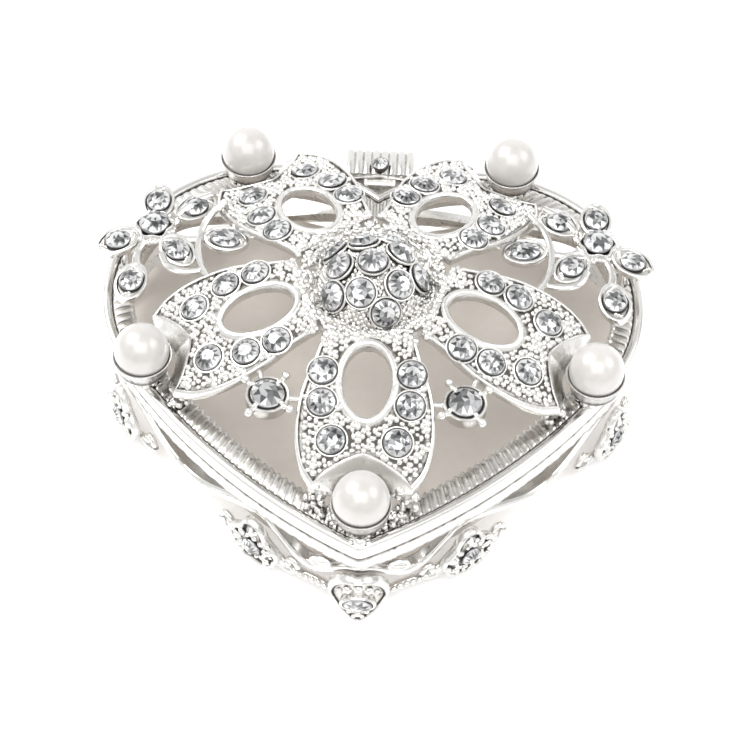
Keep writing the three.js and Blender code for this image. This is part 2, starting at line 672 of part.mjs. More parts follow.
// five leaves and an inner leaf round a flower's centre, on legs from the border
function spray(side) {
  const angle = THREE.MathUtils.degToRad(SPRAY_ANGLE);
  const heartOf = onArc(new THREE.Vector2(), reachTo(angle) - SPRAY_INSET, angle);
  const bottom = BASE_HEIGHT + SPRAY_LEVEL;
  const top = bottom + SPRAY_THICK;
  const pieces = [];
  for (const [degrees, distance] of LEAVES) {
    const turn = THREE.MathUtils.degToRad(degrees);
    const leaf = new THREE.Shape();
    leaf.moveTo(distance - LEAF_HALF_LENGTH, 0);
    leaf.quadraticCurveTo(distance, -LEAF_HALF_WIDTH * 2, distance + LEAF_HALF_LENGTH, 0);
    leaf.quadraticCurveTo(distance, LEAF_HALF_WIDTH * 2, distance - LEAF_HALF_LENGTH, 0);
    const blade = new THREE.ExtrudeGeometry(leaf, {
      depth: SPRAY_THICK,
      bevelEnabled: false,
      curveSegments: 5,
    }).translate(0, 0, bottom);
    const stalk = box(
      0, distance, -STALK_WIDTH / 2, STALK_WIDTH / 2, bottom + STALK_INSET, top - STALK_INSET,
    );
    pieces.push(blade.rotateZ(turn), stalk.rotateZ(turn));
  }
  for (const [degrees, distance] of SPRAY_LEGS) {
    const foot = onArc(new THREE.Vector2(), distance, THREE.MathUtils.degToRad(degrees));
    pieces.push(post(FOOT_R, BAND_TOP, bottom + SPRAY_THICK / 2, foot.x, foot.y, 8));
  }
  const whole = join(post(SPRAY_HUB_R, bottom, top), ...pieces).translate(heartOf.x, heartOf.y, 0);
  return side > 0 ? whole : mirrored(whole);
}

// the other hand of a shape: X reversed, and the triangles turned over to face out again
function mirrored(geometry) {
  const other = geometry.clone().scale(-1, 1, 1);
  const index = Array.from(other.index.array);
  for (let i = 0; i < index.length; i += 3) {
    [index[i + 1], index[i + 2]] = [index[i + 2], index[i + 1]];
  }
  return other.setIndex(index);
}

// the lid half of the hinge: a plate over the cleft, a web and the middle knuckle
function hingeLid() {
  const plateBottom = BAND_TOP + GAP;
  const plateTop = plateBottom + HINGE_LEAF_THICK;
  const back = PIN_Y + KNUCKLE_R;
  const front = PIN_Y - HINGE_LEAF_LENGTH;
  const leaf = box(-HINGE_HALF, HINGE_HALF, front, back, plateBottom, plateTop);
  const webTop = (plateBottom + plateTop) / 2;
  const webFront = PIN_Y - KNUCKLE_R / 2;
  const web = box(-LID_KNUCKLE_HALF, LID_KNUCKLE_HALF, webFront, back, PIN_Z, webTop);
  const knuckle = rod(KNUCKLE_R, -LID_KNUCKLE_HALF, LID_KNUCKLE_HALF, PIN_Y, PIN_Z);
  return cut(join(leaf, web, knuckle), bore());
}

function hingeStone() {
  const top = BAND_TOP + GAP + HINGE_LEAF_THICK;
  const gem = stone(HINGE_STONE_R, HINGE_STONE_HIGH);
  return gem.translate(0, PIN_Y - HINGE_STONE_FRONT, top + SEAT_GAP);
}

// the little ball at the lid's tip, on the band
function tipBead() {
  const profile = [[0, 0]];
  const start = Math.acos(-TIP_BEAD_LIFT);
  const steps = 7;
  for (let i = 0; i <= steps; i++) {
    const polar = start * (1 - i / steps);
    profile.push([TIP_BEAD_R * Math.sin(polar), TIP_BEAD_R * (Math.cos(polar) + TIP_BEAD_LIFT)]);
  }
  profile[profile.length - 1][0] = 0;
  return turned(profile, 12).translate(0, -TIP_REACH + TIP_BEAD_INSET, BAND_TOP);
}

add('base_casting', baseCasting(), silver);
add('floor_plate', floorPlate(), satin);
addBosses(1, 'right');
addBosses(-1, 'left');
add('front_shield', shield(), silver);
add('front_shield_stone', shieldStone(), crystal);
add('hinge_base_leaf', hingeBase(), silver);
add('hinge_pin', rod(PIN_R, -HINGE_HALF - GAP, HINGE_HALF + GAP, PIN_Y, PIN_Z), silver);
add('lid_casting', lidCasting(), silver);
const petals = addPetals();
add('cluster_dome', clusterDome(), silver);
addClusterStones();
addClaws(petals);
add('spray_right', spray(1), silver);
add('spray_left', spray(-1), silver);
add('hinge_lid_leaf', hingeLid(), silver);
add('hinge_stone', hingeStone(), crystal);
add('tip_bead', tipBead(), silver);

const front = SHIELD_FACE + SHIELD_SEAT - SEAT_GAP - BOSS_STONE_HIGH;
const back = PIN_Y + KNUCKLE_R;
group.position.y = -(front + back) / 2;

export default group;
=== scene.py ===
"""Looks of a heart-shaped openwork trinket box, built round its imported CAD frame.

Shapes are worked out in millimetres, in the row frame, and become metres when a mesh is made.
A pit is how blackened the silver is at a place, from 0 to 1.
"""

import math

import bpy
import numpy as np
from mathutils import Matrix, Vector


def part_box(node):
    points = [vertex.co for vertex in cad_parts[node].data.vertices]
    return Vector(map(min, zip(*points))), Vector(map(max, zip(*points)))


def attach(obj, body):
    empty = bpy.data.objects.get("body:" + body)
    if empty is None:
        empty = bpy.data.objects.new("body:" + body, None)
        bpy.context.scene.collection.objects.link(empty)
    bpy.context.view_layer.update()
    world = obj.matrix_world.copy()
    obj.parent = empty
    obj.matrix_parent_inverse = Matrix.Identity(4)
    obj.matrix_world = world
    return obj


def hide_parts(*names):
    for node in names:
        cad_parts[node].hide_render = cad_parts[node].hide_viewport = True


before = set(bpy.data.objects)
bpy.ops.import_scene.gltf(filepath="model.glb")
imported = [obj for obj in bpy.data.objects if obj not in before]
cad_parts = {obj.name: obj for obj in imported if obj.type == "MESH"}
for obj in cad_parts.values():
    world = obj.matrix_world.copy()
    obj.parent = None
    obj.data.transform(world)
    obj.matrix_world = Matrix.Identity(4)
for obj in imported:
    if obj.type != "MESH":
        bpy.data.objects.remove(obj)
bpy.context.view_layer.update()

rng = np.random.default_rng(7)


def box_of(node):
    """Lowest and highest corner of a CAD node, in mm."""
    low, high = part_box(node)
    return np.array(low) * 1000, np.array(high) * 1000


def middle_of(node):
    return np.mean(box_of(node), axis=0)


# ---------------------------------------------------------------- places from the frame
BASE_LOW, BASE_HIGH = box_of("base_casting")
LID_LOW, LID_HIGH = box_of("lid_casting")
HUB_LOW, HUB_HIGH = box_of("cluster_dome")
AXIS = (HUB_LOW + HUB_HIGH)[:2] / 2  # the flower's axis
RIM_TOP = BASE_HIGH[2]
BAND_TOP = LID_HIGH[2]
HANDS = {"right": 1, "left": -1}
PETALS = ["front", "right", "back_right", "back_left", "left"]
PEARLS = {name: middle_of(f"pearl_{name}") for name in PETALS}
PEARL_R = np.ptp(box_of("pearl_front"), axis=0)[0] / 2
UP = (0, 0, 1)

# ---------------------------------------------------------------- the heart's outline
CLEFT_DEPTH = 4.5  # back of the lobes to the cleft
FLANK_R = 83.3  # outer radius of the flanks
TIP_SOFTEN = 0.5  # rounds the outline's corner at the tip
WIDTH = BASE_HIGH[0] - BASE_LOW[0]
LOBE_R = WIDTH / 2 + CLEFT_DEPTH - math.sqrt(WIDTH * CLEFT_DEPTH)
LOBE = np.array([WIDTH / 2 - LOBE_R, BASE_HIGH[1] - LOBE_R])
TIP = np.array([0.0, BASE_LOW[1]])


def flank_centre():
    """Centre of the arc that runs from the tip tangent into the right lobe."""
    to_lobe = LOBE - TIP
    length = np.hypot(*to_lobe)
    forth = (FLANK_R**2 - (FLANK_R - LOBE_R) ** 2 + length**2) / (2 * length)
    aside = math.sqrt(FLANK_R**2 - forth**2)
    ahead = to_lobe / length
    return TIP + ahead * forth + np.array([-ahead[1], ahead[0]]) * aside


FLANK = flank_centre()
MEET = math.atan2(LOBE[1] - FLANK[1], LOBE[0] - FLANK[0])  # where flank and lobe meet
FLANK_LENGTH = FLANK_R * (MEET + math.acos(-FLANK[0] / FLANK_R))
LOBE_LENGTH = LOBE_R * (math.acos(-LOBE[0] / LOBE_R) - MEET)
HALF_LENGTH = FLANK_LENGTH + LOBE_LENGTH


def outline(s, grow=0.0):
    """Points of the right half, grown outward, at lengths s from the tip, and the outward angles."""
    s = np.asarray(s, float)
    grow = np.broadcast_to(grow, s.shape)
    flank_r, lobe_r = FLANK_R + grow, LOBE_R + grow
    tip_angle = -np.arccos(-FLANK[0] / flank_r)
    cleft_angle = np.arccos(-LOBE[0] / lobe_r)
    on_flank = s < FLANK_LENGTH
    angle = np.where(
        on_flank,
        tip_angle + (MEET - tip_angle) * s / FLANK_LENGTH,
        MEET + (cleft_angle - MEET) * (s - FLANK_LENGTH) / LOBE_LENGTH,
    )
    radius = np.where(on_flank, flank_r, lobe_r)
    centre = np.where(on_flank[:, None], FLANK, LOBE)
    points = centre + radius[:, None] * np.stack([np.cos(angle), np.sin(angle)], -1)
    points[np.abs(s) < 1e-9, 0] = 0
    points[np.abs(s - HALF_LENGTH) < 1e-6, 0] = 0
    slope = math.tan(math.pi / 2 + tip_angle[0]) if len(s) else 0
    x = points[:, 0]
    near_tip = points[:, 1] < LOBE[1]
    points[:, 1] += near_tip * slope * (np.sqrt(x**2 + TIP_SOFTEN**2) - np.abs(x))
    return points, angle


def spot(side, s, grow, z):
    """A place on the wall and its axes: along the outline, and outward."""
    points, angle = outline([s], grow)
    cos, sin = math.cos(angle[0]), math.sin(angle[0])
    origin = np.array([side * points[0][0], points[0][1], z])
    return origin, np.array([-sin, side * cos, 0]), np.array([side * cos, sin, 0])


def on_wall(side, s, grow, z):
    """Points on the wall from lengths, growth and heights."""
    xy, _ = outline(s, grow)
    return np.column_stack([side * xy[:, 0], xy[:, 1], np.broadcast_to(z, (len(xy),))])


def depth_in_box(xy):
    """How far a point is inside the outline, and the way out."""
    right = np.array([abs(xy[0]), xy[1]])
    by_lobe = math.atan2(right[1] - LOBE[1], right[0] - LOBE[0]) > MEET
    out = right - (LOBE if by_lobe else FLANK)
    reach = np.hypot(*out)
    return (LOBE_R if by_lobe else FLANK_R) - reach, out / reach * [math.copysign(1, xy[0]), 1]


# ---------------------------------------------------------------- meshes
class Part:
    """Collects closed shapes, with a pit per vertex and a painted facet light per face (the painted
    reflection and shade of stones), into one mesh.
    """

    def __init__(self):
        self.verts, self.faces, self.pits, self.tints, self.slots = [], [], [], [], []
        self.count = 0

    def add(self, verts, faces, pit=0.0, slot=0, tint=1.0):
        verts = np.asarray(verts, float)
        self.verts.append(verts)
        self.faces += [tuple(i + self.count for i in f) for f in faces]
        self.pits.append(np.broadcast_to(np.asarray(pit, float), (len(verts),)))
        self.slots += [slot] * len(faces)
        self.tints += list(np.broadcast_to(np.asarray(tint, float), (len(faces),)))
        self.count += len(verts)

    def make(self, name, body, stands_for, materials, slot, sharp=40):
        """The piece itself, riding on its body in place of a CAD node."""
        mesh = bpy.data.meshes.new(name)
        mesh.from_pydata(np.concatenate(self.verts) / 1000, [], self.faces)
        mesh.update()
        pit = mesh.attributes.new("pit", "FLOAT", "POINT")
        pit.data.foreach_set("value", np.concatenate(self.pits).astype(np.float32))
        # per-face painted reflection and painted shade of the stones' facets; other parts leave it at 1
        tint = mesh.attributes.new("tint", "FLOAT", "FACE")
        tint.data.foreach_set("value", np.array(self.tints, np.float32))
        for material in materials:
            mesh.materials.append(material)
        mesh.polygons.foreach_set("material_index", np.array(self.slots, np.int32))
        mesh.shade_smooth()
        mesh.set_sharp_from_angle(angle=math.radians(sharp))
        piece = bpy.data.objects.new(name, mesh)
        bpy.context.scene.collection.objects.link(piece)
        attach(piece, body)
        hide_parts(stands_for)


def heading(turn):
    """Unit direction in a plane."""
    return np.array([math.cos(turn), math.sin(turn)])


def around(count):
    """Angles round a circle, and their directions."""
    turn = np.linspace(0, 2 * np.pi, count, endpoint=False)
    return turn, np.stack([np.cos(turn), np.sin(turn)], -1)


def level(xy, z):
    """Plane points at a height, or one height each."""
    return np.column_stack([xy, np.broadcast_to(z, (len(xy),))])


def loft(rings, closed=False):
    """Skins rings of equal length, each a closed loop; the ends get a fan, or meet if closed."""
    rings = [np.asarray(r, float) for r in rings]
    count, n = len(rings), len(rings[0])
    verts = np.concatenate(rings)
    faces = []
    i = np.arange(n)
    j = (i + 1) % n
    for k in range(count if closed else count - 1):
        a, b = k * n, ((k + 1) % count) * n
        faces += list(zip(a + i, a + j, b + j, b + i))
    if not closed:
        verts = np.concatenate([verts, [rings[0].mean(0)], [rings[-1].mean(0)]])
        start, end, last = count * n, count * n + 1, (count - 1) * n
        faces += [(start, q, p) for p, q in zip(i, j)]
        faces += [(end, p + last, q + last) for p, q in zip(i, j)]
    return verts, [tuple(int(v) for v in f) for f in faces]


def outward(verts, faces):
    """Turns faces over if the volume they enclose comes out negative."""
    volume = 0.0
    for f in faces:
        a, b, c = (verts[i] for i in f[:3])
        volume += np.dot(a, np.cross(b, c))
        if len(f) == 4:
            volume += np.dot(a, np.cross(c, verts[f[3]]))
    return faces if volume > 0 else [f[::-1] for f in faces]


def sweep(part, s, sections):
    """Adds a closed ring round the heart. A section is (grow, z, pit), each a number or one per station."""
    back = s[1:-1][::-1]
    rings, pits = [], []
    for section in sections:
        grow, z, pit = (np.broadcast_to(value, s.shape) for value in section)
        xy = [outline(s, grow)[0], outline(back, grow[1:-1][::-1])[0] * [-1, 1]]
        rings.append(level(np.concatenate(xy), np.concatenate([z, z[1:-1][::-1]])))
        pits += [pit, pit[1:-1][::-1]]
    part.add(*loft(rings, closed=True), np.concatenate(pits))


def lathe(profile, segments=32):
    """A turned solid from (radius, height) points, closed at the axis by a fan."""
    _, ring = around(segments)
    return loft([level(ring * r, z) for r, z in profile])


def ball_shape(segments, rows):
    """A unit ball as verts and faces."""
    polar = np.linspace(math.pi, 0, rows + 2)[1:-1]
    verts, faces = lathe([(math.sin(p), math.cos(p)) for p in polar], segments)
    verts[-2], verts[-1] = (0, 0, -1), UP
    return verts, faces


UNIT_BALL = ball_shape(10, 5)
SMOOTH_BALL = ball_shape(20, 9)


def add_grains(part, centres, radii, up, sunk=0.1, shape=UNIT_BALL):
    """Cast grains: uneven balls at centres, darker round their feet. up is one direction per grain."""
    unit, faces = shape
    for centre, radius, axis in zip(centres, radii, up):
        lean = np.array(Vector(UP).rotation_difference(Vector(axis)).to_matrix())
        uneven = 1 + (shape is UNIT_BALL) * 0.22 * (rng.random(3) - 0.5) * [2, 2, 1]
        cos, sin = heading(rng.random() * np.pi)
        spun = unit @ np.array([[cos, sin, 0], [-sin, cos, 0], [0, 0, 1.0]])
        pit = np.clip((sunk - unit[:, 2]) * 1.1, 0, 0.85)
        part.add((spun * radius * uneven) @ lean.T + centre, faces, pit)


def add_grain(part, centre, least, spread, up=UP):
    """One grain, with a radius between least and least + spread."""
    add_grains(part, [np.ravel(centre)], [least + spread * rng.random()], [up])


def add_bead(part, centre, radius, up=UP, sunk=-0.4):
    """A smooth bright ball."""
    add_grains(part, [np.ravel(centre)], [radius], [up], sunk, SMOOTH_BALL)


def tube(path, radius, segments=10):
    """A round bar with rounded ends along a path."""
    path = np.asarray(path, float)
    radius = np.broadcast_to(radius, (len(path),))
    ahead = np.gradient(path, axis=0)
    ahead /= np.linalg.norm(ahead, axis=1)[:, None]
    helper = np.array([0, 0, 1.0]) if abs(ahead[0][2]) < 0.9 else np.array([1.0, 0, 0])
    _, ring = around(segments)
    rings = []
    for p, t, r in zip(path, ahead, radius):
        u = np.cross(helper, t)
        u /= np.linalg.norm(u)
        rings.append(p + r * (ring[:, :1] * u + ring[:, 1:] * np.cross(t, u)))
    first = path[0] + (rings[0] - path[0]) * 0.6 - ahead[0] * radius[0] * 0.5
    last = path[-1] + (rings[-1] - path[-1]) * 0.6 + ahead[-1] * radius[-1] * 0.5
    return loft([first, *rings, last])


def smooth_curve(points, count):
    """Catmull-Rom through the points."""
    points = np.asarray(points, float)
    padded = np.concatenate([[2 * points[0] - points[1]], points, [2 * points[-1] - points[-2]]])
    out = []
    for t in np.linspace(0, len(points) - 1, count):
        k = min(int(t), len(points) - 2)
        u = t - k
        a, b, c, d = padded[k : k + 4]
        curve = 2 * b + (c - a) * u + (2 * a - 5 * b + 4 * c - d) * u**2 + (3 * b - a - 3 * c + d) * u**3
        out.append(0.5 * curve)
    return np.array(out)


def placed(verts, origin, x, y, z):
    """Local points to the row frame."""
    return origin + verts[:, :1] * x + verts[:, 1:2] * y + verts[:, 2:3] * z


def axes_for(normal, hint=UP):
    """Two directions square to a normal, and the unit normal."""
    normal = np.asarray(normal, float) / np.linalg.norm(normal)
    x = np.cross(hint, normal)
    if np.linalg.norm(x) < 1e-3:
        x = np.array([1.0, 0, 0])
    x /= np.linalg.norm(x)
    return x, np.cross(normal, x), normal


def inset_rings(edge, centre, insets):
    """Rings moved in from a star-shaped edge towards its centre by distances square to the edge."""
    edge = np.asarray(edge, float)
    tangent = np.roll(edge, -1, 0) - np.roll(edge, 1, 0)
    tangent /= np.linalg.norm(tangent, axis=1)[:, None]
    inward = np.stack([-tangent[:, 1], tangent[:, 0]], -1)
    ray = centre - edge
    length = np.linalg.norm(ray, axis=1)
    ray /= length[:, None]
    stretch = 1 / np.clip(np.abs((ray * inward).sum(1)), 0.45, 1)
    return [edge + ray * np.minimum(d * stretch, length * 0.9)[:, None] for d in insets]


def plate(edge, profile, place, middle_pit):
    """A star-shaped plate about (0, 0), put in its place by place.

    Rows of the profile are inset, height and pit.
    """
    insets, heights, pits = zip(*profile)
    inner = inset_rings(edge, np.zeros(2), insets)
    verts, faces = loft([place(level(xy, z)) for xy, z in zip(inner, heights)])
    return verts, faces, np.concatenate([np.repeat(pits, len(edge)), [0.3, middle_pit]])


# ---------------------------------------------------------------- materials
class Nodes:
    """Short ways to add nodes to a tree and join them."""

    def __init__(self, tree):
        self.tree = tree

    def set(self, node, inputs):
        """Each input is a number, a colour or another node's output."""
        for key, value in inputs.items():
            if isinstance(value, bpy.types.NodeSocket):
                self.tree.links.new(value, node.inputs[key])
            else:
                node.inputs[key].default_value = value

    def add(self, kind, inputs=None, output=0, **settings):
        node = self.tree.nodes.new(f"ShaderNode{kind}")
        for name, value in settings.items():
            setattr(node, name, value)
        self.set(node, inputs or {})
        return node.outputs[output]

    def ramp(self, factor, *stops):
        colour = self.add("ValToRGB", {"Fac": factor})
        elements = colour.node.color_ramp.elements
        while len(elements) < len(stops):
            elements.new(0.5)
        for element, (position, rgb) in zip(elements, stops):
            element.position = position
            element.color = (*rgb, 1)
        return colour

    def noise(self, scale, detail=3.0, roughness=0.5):
        place = self.add("TexCoord", output="Object")
        inputs = {"Vector": place, "Scale": scale, "Detail": detail, "Roughness": roughness}
        return self.add("TexNoise", inputs)

    def bump(self, height, strength, distance):
        return self.add("Bump", {"Height": height, "Strength": strength, "Distance": distance})


def new_material(name):
    material = bpy.data.materials.new(name)
    material.use_nodes = True
    return material, Nodes(material.node_tree), material.node_tree.nodes["Principled BSDF"]


BLACKENED = 1.15 / 1.2  # where on the ramp of wear the silver is black


def silver_material(name, bright, shade, grain_scale, grain_depth, rough, pores=0.0):
    """Bright plate over a cast surface, blackened in its pits and pores, with a fine grain."""
    material, nodes, shader = new_material(name)
    pit = nodes.add("Attribute", output="Fac", attribute_name="pit")
    speck = nodes.noise(2200, 4.0, 0.6)
    stain = nodes.add("Math", {0: speck, 1: 0.45, 2: pit}, operation="MULTIPLY_ADD")
    hole = nodes.noise(1300, 5.0, 0.7)
    pore = nodes.add("MapRange", {"Value": hole, "From Min": 0.56, "From Max": 0.66, "To Max": pores})
    worn = nodes.add("Math", {0: stain, 1: pore}, operation="ADD")
    nodes.set(shader, {
        "Base Color": nodes.ramp(worn, (0.32, bright), (0.62, shade), (BLACKENED, (0.09, 0.083, 0.075))),
        "Metallic": 1.0,
        "Roughness": nodes.add("MapRange", {"Value": stain, "To Min": rough, "To Max": rough + 0.2}),
        "Normal": nodes.bump(nodes.noise(grain_scale, 5.0, 0.62), 0.5, grain_depth),
    })
    return material


def crystal_material(name):
    """Cut glass on foil: bright and dark facets painted into the colour as painted reflection and painted
    shade, under a clear gloss.
    """
    material, nodes, shader = new_material(name)
    # the colour comes from each facet's painted reflection and shade, with a little random tone from noise
    tint = nodes.add("Attribute", output="Fac", attribute_name="tint")
    shine = nodes.add("Math", {0: nodes.noise(1500, 2.0), 1: 0.12, 2: tint}, operation="MULTIPLY_ADD")
    dark, mid, bright = (0.035, 0.037, 0.04), (0.27, 0.274, 0.28), (0.97, 0.97, 0.965)
    nodes.set(shader, {
        "Base Color": nodes.ramp(shine, (0.05, dark), (0.45, mid), (1.0, bright)),
        "Metallic": 0.75, "Roughness": 0.12,
        "Coat Weight": 0.45, "Coat Roughness": 0.03, "Coat IOR": 1.55,
    })
    return material


def pearl_material(name):
    """Imitation pearl: cream lacquer with a soft deep lustre."""
    material, nodes, shader = new_material(name)
    colour = nodes.ramp(nodes.noise(260), (0.3, (0.54, 0.521, 0.50)), (0.7, (0.60, 0.582, 0.56)))
    nodes.set(shader, {
        "Base Color": colour, "Metallic": 0.25, "Roughness": 0.34,
        "Coat Weight": 0.8, "Coat Roughness": 0.08, "Sheen Weight": 0.3,
        "Normal": nodes.bump(nodes.noise(900, 2.0), 0.08, 0.00004),
    })
    return material


def satin_material(name, light, dark):
    """Matt satin plate of the inside."""
    material, nodes, shader = new_material(name)
    nodes.set(shader, {
        "Base Color": nodes.ramp(nodes.noise(420, 5.0, 0.6), (0.3, dark), (0.7, light)),
        "Metallic": 0.04, "Roughness": 0.55,
        "Normal": nodes.bump(nodes.noise(3000), 0.15, 0.00003),
    })
    return material


SILVER = silver_material("cast_silver", (0.78, 0.77, 0.75), (0.64, 0.625, 0.60), 1700, 0.00009, 0.2, 0.4)
SMOOTH = silver_material("smooth_silver", (0.79, 0.78, 0.76), (0.67, 0.655, 0.63), 900, 0.00003, 0.16, 0.3)
OXIDE = silver_material("oxidised_seat", (0.10, 0.095, 0.088), (0.07, 0.066, 0.06), 1500, 0.00005, 0.35)
CRYSTAL = crystal_material("foiled_crystal_painted_facets")
PEARL = pearl_material("imitation_pearl")
SATIN = satin_material("satin_lining", (0.90, 0.84, 0.78), (0.86, 0.80, 0.74))


# ---------------------------------------------------------------- stones
SHADE_LEAST, SHADE_MOST = 0.72, 1.0  # how strongly the painted shade on a stone's dark side shows


def gem(radius, high, stretch=1.0):
    """A stone of 8 or 12 wedges round a table, with painted reflection on its facets and painted shade on
    one side.
    """
    wedges = 8 if rng.random() < 0.6 else 12
    half, step = wedges // 2, 24 // wedges

    def ring(count, r, z, shift=0.0):
        turn = (np.arange(count) + shift) * 2 * np.pi / count
        return level(np.stack([np.cos(turn), np.sin(turn)], -1) * r * [stretch, 1.0], high * z)

    rings = [
        ring(24, radius * 0.6, -0.35),
        ring(24, radius, 0.28),
        ring(24, radius * 0.96, 0.42),
        ring(2 * wedges, radius * 0.90, 0.52),
        ring(wedges, radius * 0.53, 0.96),
        ring(half, radius * 0.24, 0.99, 0.5),
    ]
    starts = np.cumsum([0] + [len(r) for r in rings])
    verts = np.concatenate([*rings, [[0, 0, high]], [[0, 0, -high * 0.35]]])
    under, low, girdle, edge, table, core, top = starts
    bottom = top + 1
    faces, tints = [], []
    # painted shade: the side that shade_way points to is darkened, as strongly as depth says
    shade_way = rng.random() * 2 * np.pi
    depth = SHADE_LEAST + (SHADE_MOST - SHADE_LEAST) * rng.random()

    def face(tint, *corners):
        faces.append(tuple(int(i) for i in corners))
        tints.append(float(np.clip(tint, 0, 1)))

    # painted reflection: fixed greys on the facets under the girdle
    for i in range(24):
        j = (i + 1) % 24
        face(0.5, bottom, under + j, under + i)
        face(0.3, under + i, under + j, low + j, low + i)
        face(0.35, low + i, low + j, girdle + j, girdle + i)
    # painted reflection: crown facets light, every third one darker
    for i in range(wedges):
        tint = 0.7 if i % 3 else 0.4
        below = [girdle + (step * i + k) % 24 for k in range(step + 1)]
        above = [edge + (2 * i + k) % (2 * wedges) for k in range(3)]
        face(tint, below[0], below[1], above[1], above[0])
        if step == 3:
            face(tint, below[1], below[2], above[1])
        face(tint, below[-2], below[-1], above[2], above[1])
    # painted reflection on the star facets, light and dark in turn, darkened further by the painted shade
    for i in range(wedges):
        near, far = table + i, table + (i + 1) % wedges
        left, mid, right = (edge + (2 * i + k) % (2 * wedges) for k in range(3))
        shadow = depth * (0.5 + 0.5 * math.cos((i + 0.5) * 2 * np.pi / wedges - shade_way))
        light = (0.55 + 0.37 * rng.random()) * (1 - 0.35 * shadow)
        face(light, left, mid, near)
        face(0.27 - 0.36 * shadow + 0.12 * rng.random(), mid, far, near)
        face(light - 0.1 * shadow, mid, right, far)
    # painted shade on the table's shaded side, and some facets darkened at random as painted dark
    # reflections
    for i in range(wedges):
        near, far = table + i, table + (i + 1) % wedges
        facing = 0.5 + 0.5 * math.cos(i * 2 * np.pi / wedges - shade_way - 0.9)
        tint = 0.76 - 0.7 * depth * max(0, facing - 0.45) / 0.55 + 0.1 * (rng.random() - 0.5)
        if i % 2 == 0:
            face(tint, near, far, core + i // 2)
        else:
            painted_reflection_dim = 0.6 if rng.random() < 0.4 else 1
            face(tint * painted_reflection_dim, near, far, core + (i // 2 + 1) % half, core + i // 2)
    # painted shade on the shaded half of the table's middle
    for i in range(half):
        facing = math.cos((i + 1) * 2 * np.pi / half - shade_way)
        face(0.74 - 0.7 * depth * (facing > 0.2), core + i, core + (i + 1) % half, top)
    return verts, faces, tints


def add_stone(part, origin, normal, radius, high, slot=0, stretch=1.0, hint=UP, turn=None):
    """A stone on a part whose material slot is the crystal, set a little unevenly."""
    lean = (rng.random(3) - 0.5) * 0.16
    x, y, z = axes_for(np.asarray(normal, float) / np.linalg.norm(normal) + lean, hint)
    cos, sin = heading(rng.random() * np.pi / 4 if turn is None else turn)
    verts, faces, tints = gem(radius, high, stretch)
    part.add(placed(verts, origin, x * cos + y * sin, y * cos - x * sin, z), faces, 0.0, slot, tints)


def add_seat(part, origin, normal, radius, deep, stretch=1.0):
    """The blackened seat that shows as a thin crescent on one side of a stone, in slot 1."""
    inner = radius - 0.6
    profile = [
        (inner, -deep), (radius + 0.02, -deep), (radius + 0.05, 0.02), (radius - 0.05, 0.08), (inner, 0.08),
    ]
    verts, faces = lathe(profile, 28)
    verts[:, 0] *= stretch
    x, y, z = axes_for(normal)
    cos, sin = heading(rng.random() * 2 * np.pi)
    part.add(placed(verts, origin + 0.12 * (x * cos + y * sin), x, y, z), faces, 1.0, 1)


def add_bezel(part, origin, normal, radius, wire=0.17):
    """A thin bright rim round a stone."""
    _, section = around(10)
    _, ring = around(36)
    rings = [level(ring * (radius + wire * r), wire * 1.2 * z) for r, z in section]
    verts, faces = loft(rings, closed=True)
    part.add(placed(verts, origin, *axes_for(normal)), outward(verts, faces), 0.05)


def make_stone(part, name, body, node, sharp=5, more=()):
    part.make(name, body, node, [CRYSTAL, OXIDE, *more], "crystal", sharp)


# ---------------------------------------------------------------- petals
PETAL_THICK = 1.2
DOME_FALL = 0.00921  # drop of the petals' dome per square millimetre of radius
DOME_Z = HUB_HIGH[2] - 2.3  # crown of the petals' dome
PETAL_ROOT, PETAL_ROOT_HALF = 8.6, 5.8  # distance from the flower's axis, half width
PETAL_HALF = 8.7
PETAL_TIP_BACK, PETAL_TIP_HALF = 2.55, 6.2  # fork tips, from the pearl's centre and to each side
FORK_DEPTH = 3.4
EYE_ROOT_WALL, EYE_FORK_WALL = 1.85, 4.75
EYE_HALF_WIDTH = 3.0
PETAL_SIDE = [(0.16, 0.76), (0.42, 0.95), (0.67, 1.0), (0.87, 0.91)]  # shares of length and half width
PETAL_STONE_R = 1.78
PETAL_STONES = [(13.9, 5.5), (17.8, 5.45), (22.3, 4.05)]  # from the flower's axis, and to each side
GRAIN_PITCH = 0.76
FIELD_ROWS = 7
BORDER_INNER = 4.2  # the lid's border ends this far inside the outline
EDGE_PROFILE = [  # inset from the outline, height, pit
    (0.30, -PETAL_THICK, 0.3), (0.05, -PETAL_THICK + 0.15, 0.2), (0.0, -0.75, 0.1), (0.0, -0.25, 0.0),
    (0.05, 0.10, 0.0), (0.17, 0.27, 0.0), (0.32, 0.32, 0.0), (0.46, 0.25, 0.0), (0.55, 0.05, 0.7),
    (0.62, -0.08, 0.6), (0.72, -0.06, 0.6), (0.84, 0.0, 0.5),
]
EYE_PROFILE = [  # outset from the eye, height, pit
    (1.15, -0.02, 0.6), (1.02, 0.08, 0.25), (0.86, 0.27, 0.0), (0.62, 0.36, 0.0), (0.36, 0.33, 0.0),
    (0.14, 0.16, 0.0), (0.02, -0.12, 0.0), (0.0, -0.6, 0.0), (0.1, -PETAL_THICK, 0.2),
]
FORK_APRON = [(1.0, 0.75), (1.0, 0.6), (0.85, 0.35), (0.4, 0.1)]  # share of the lean, drop


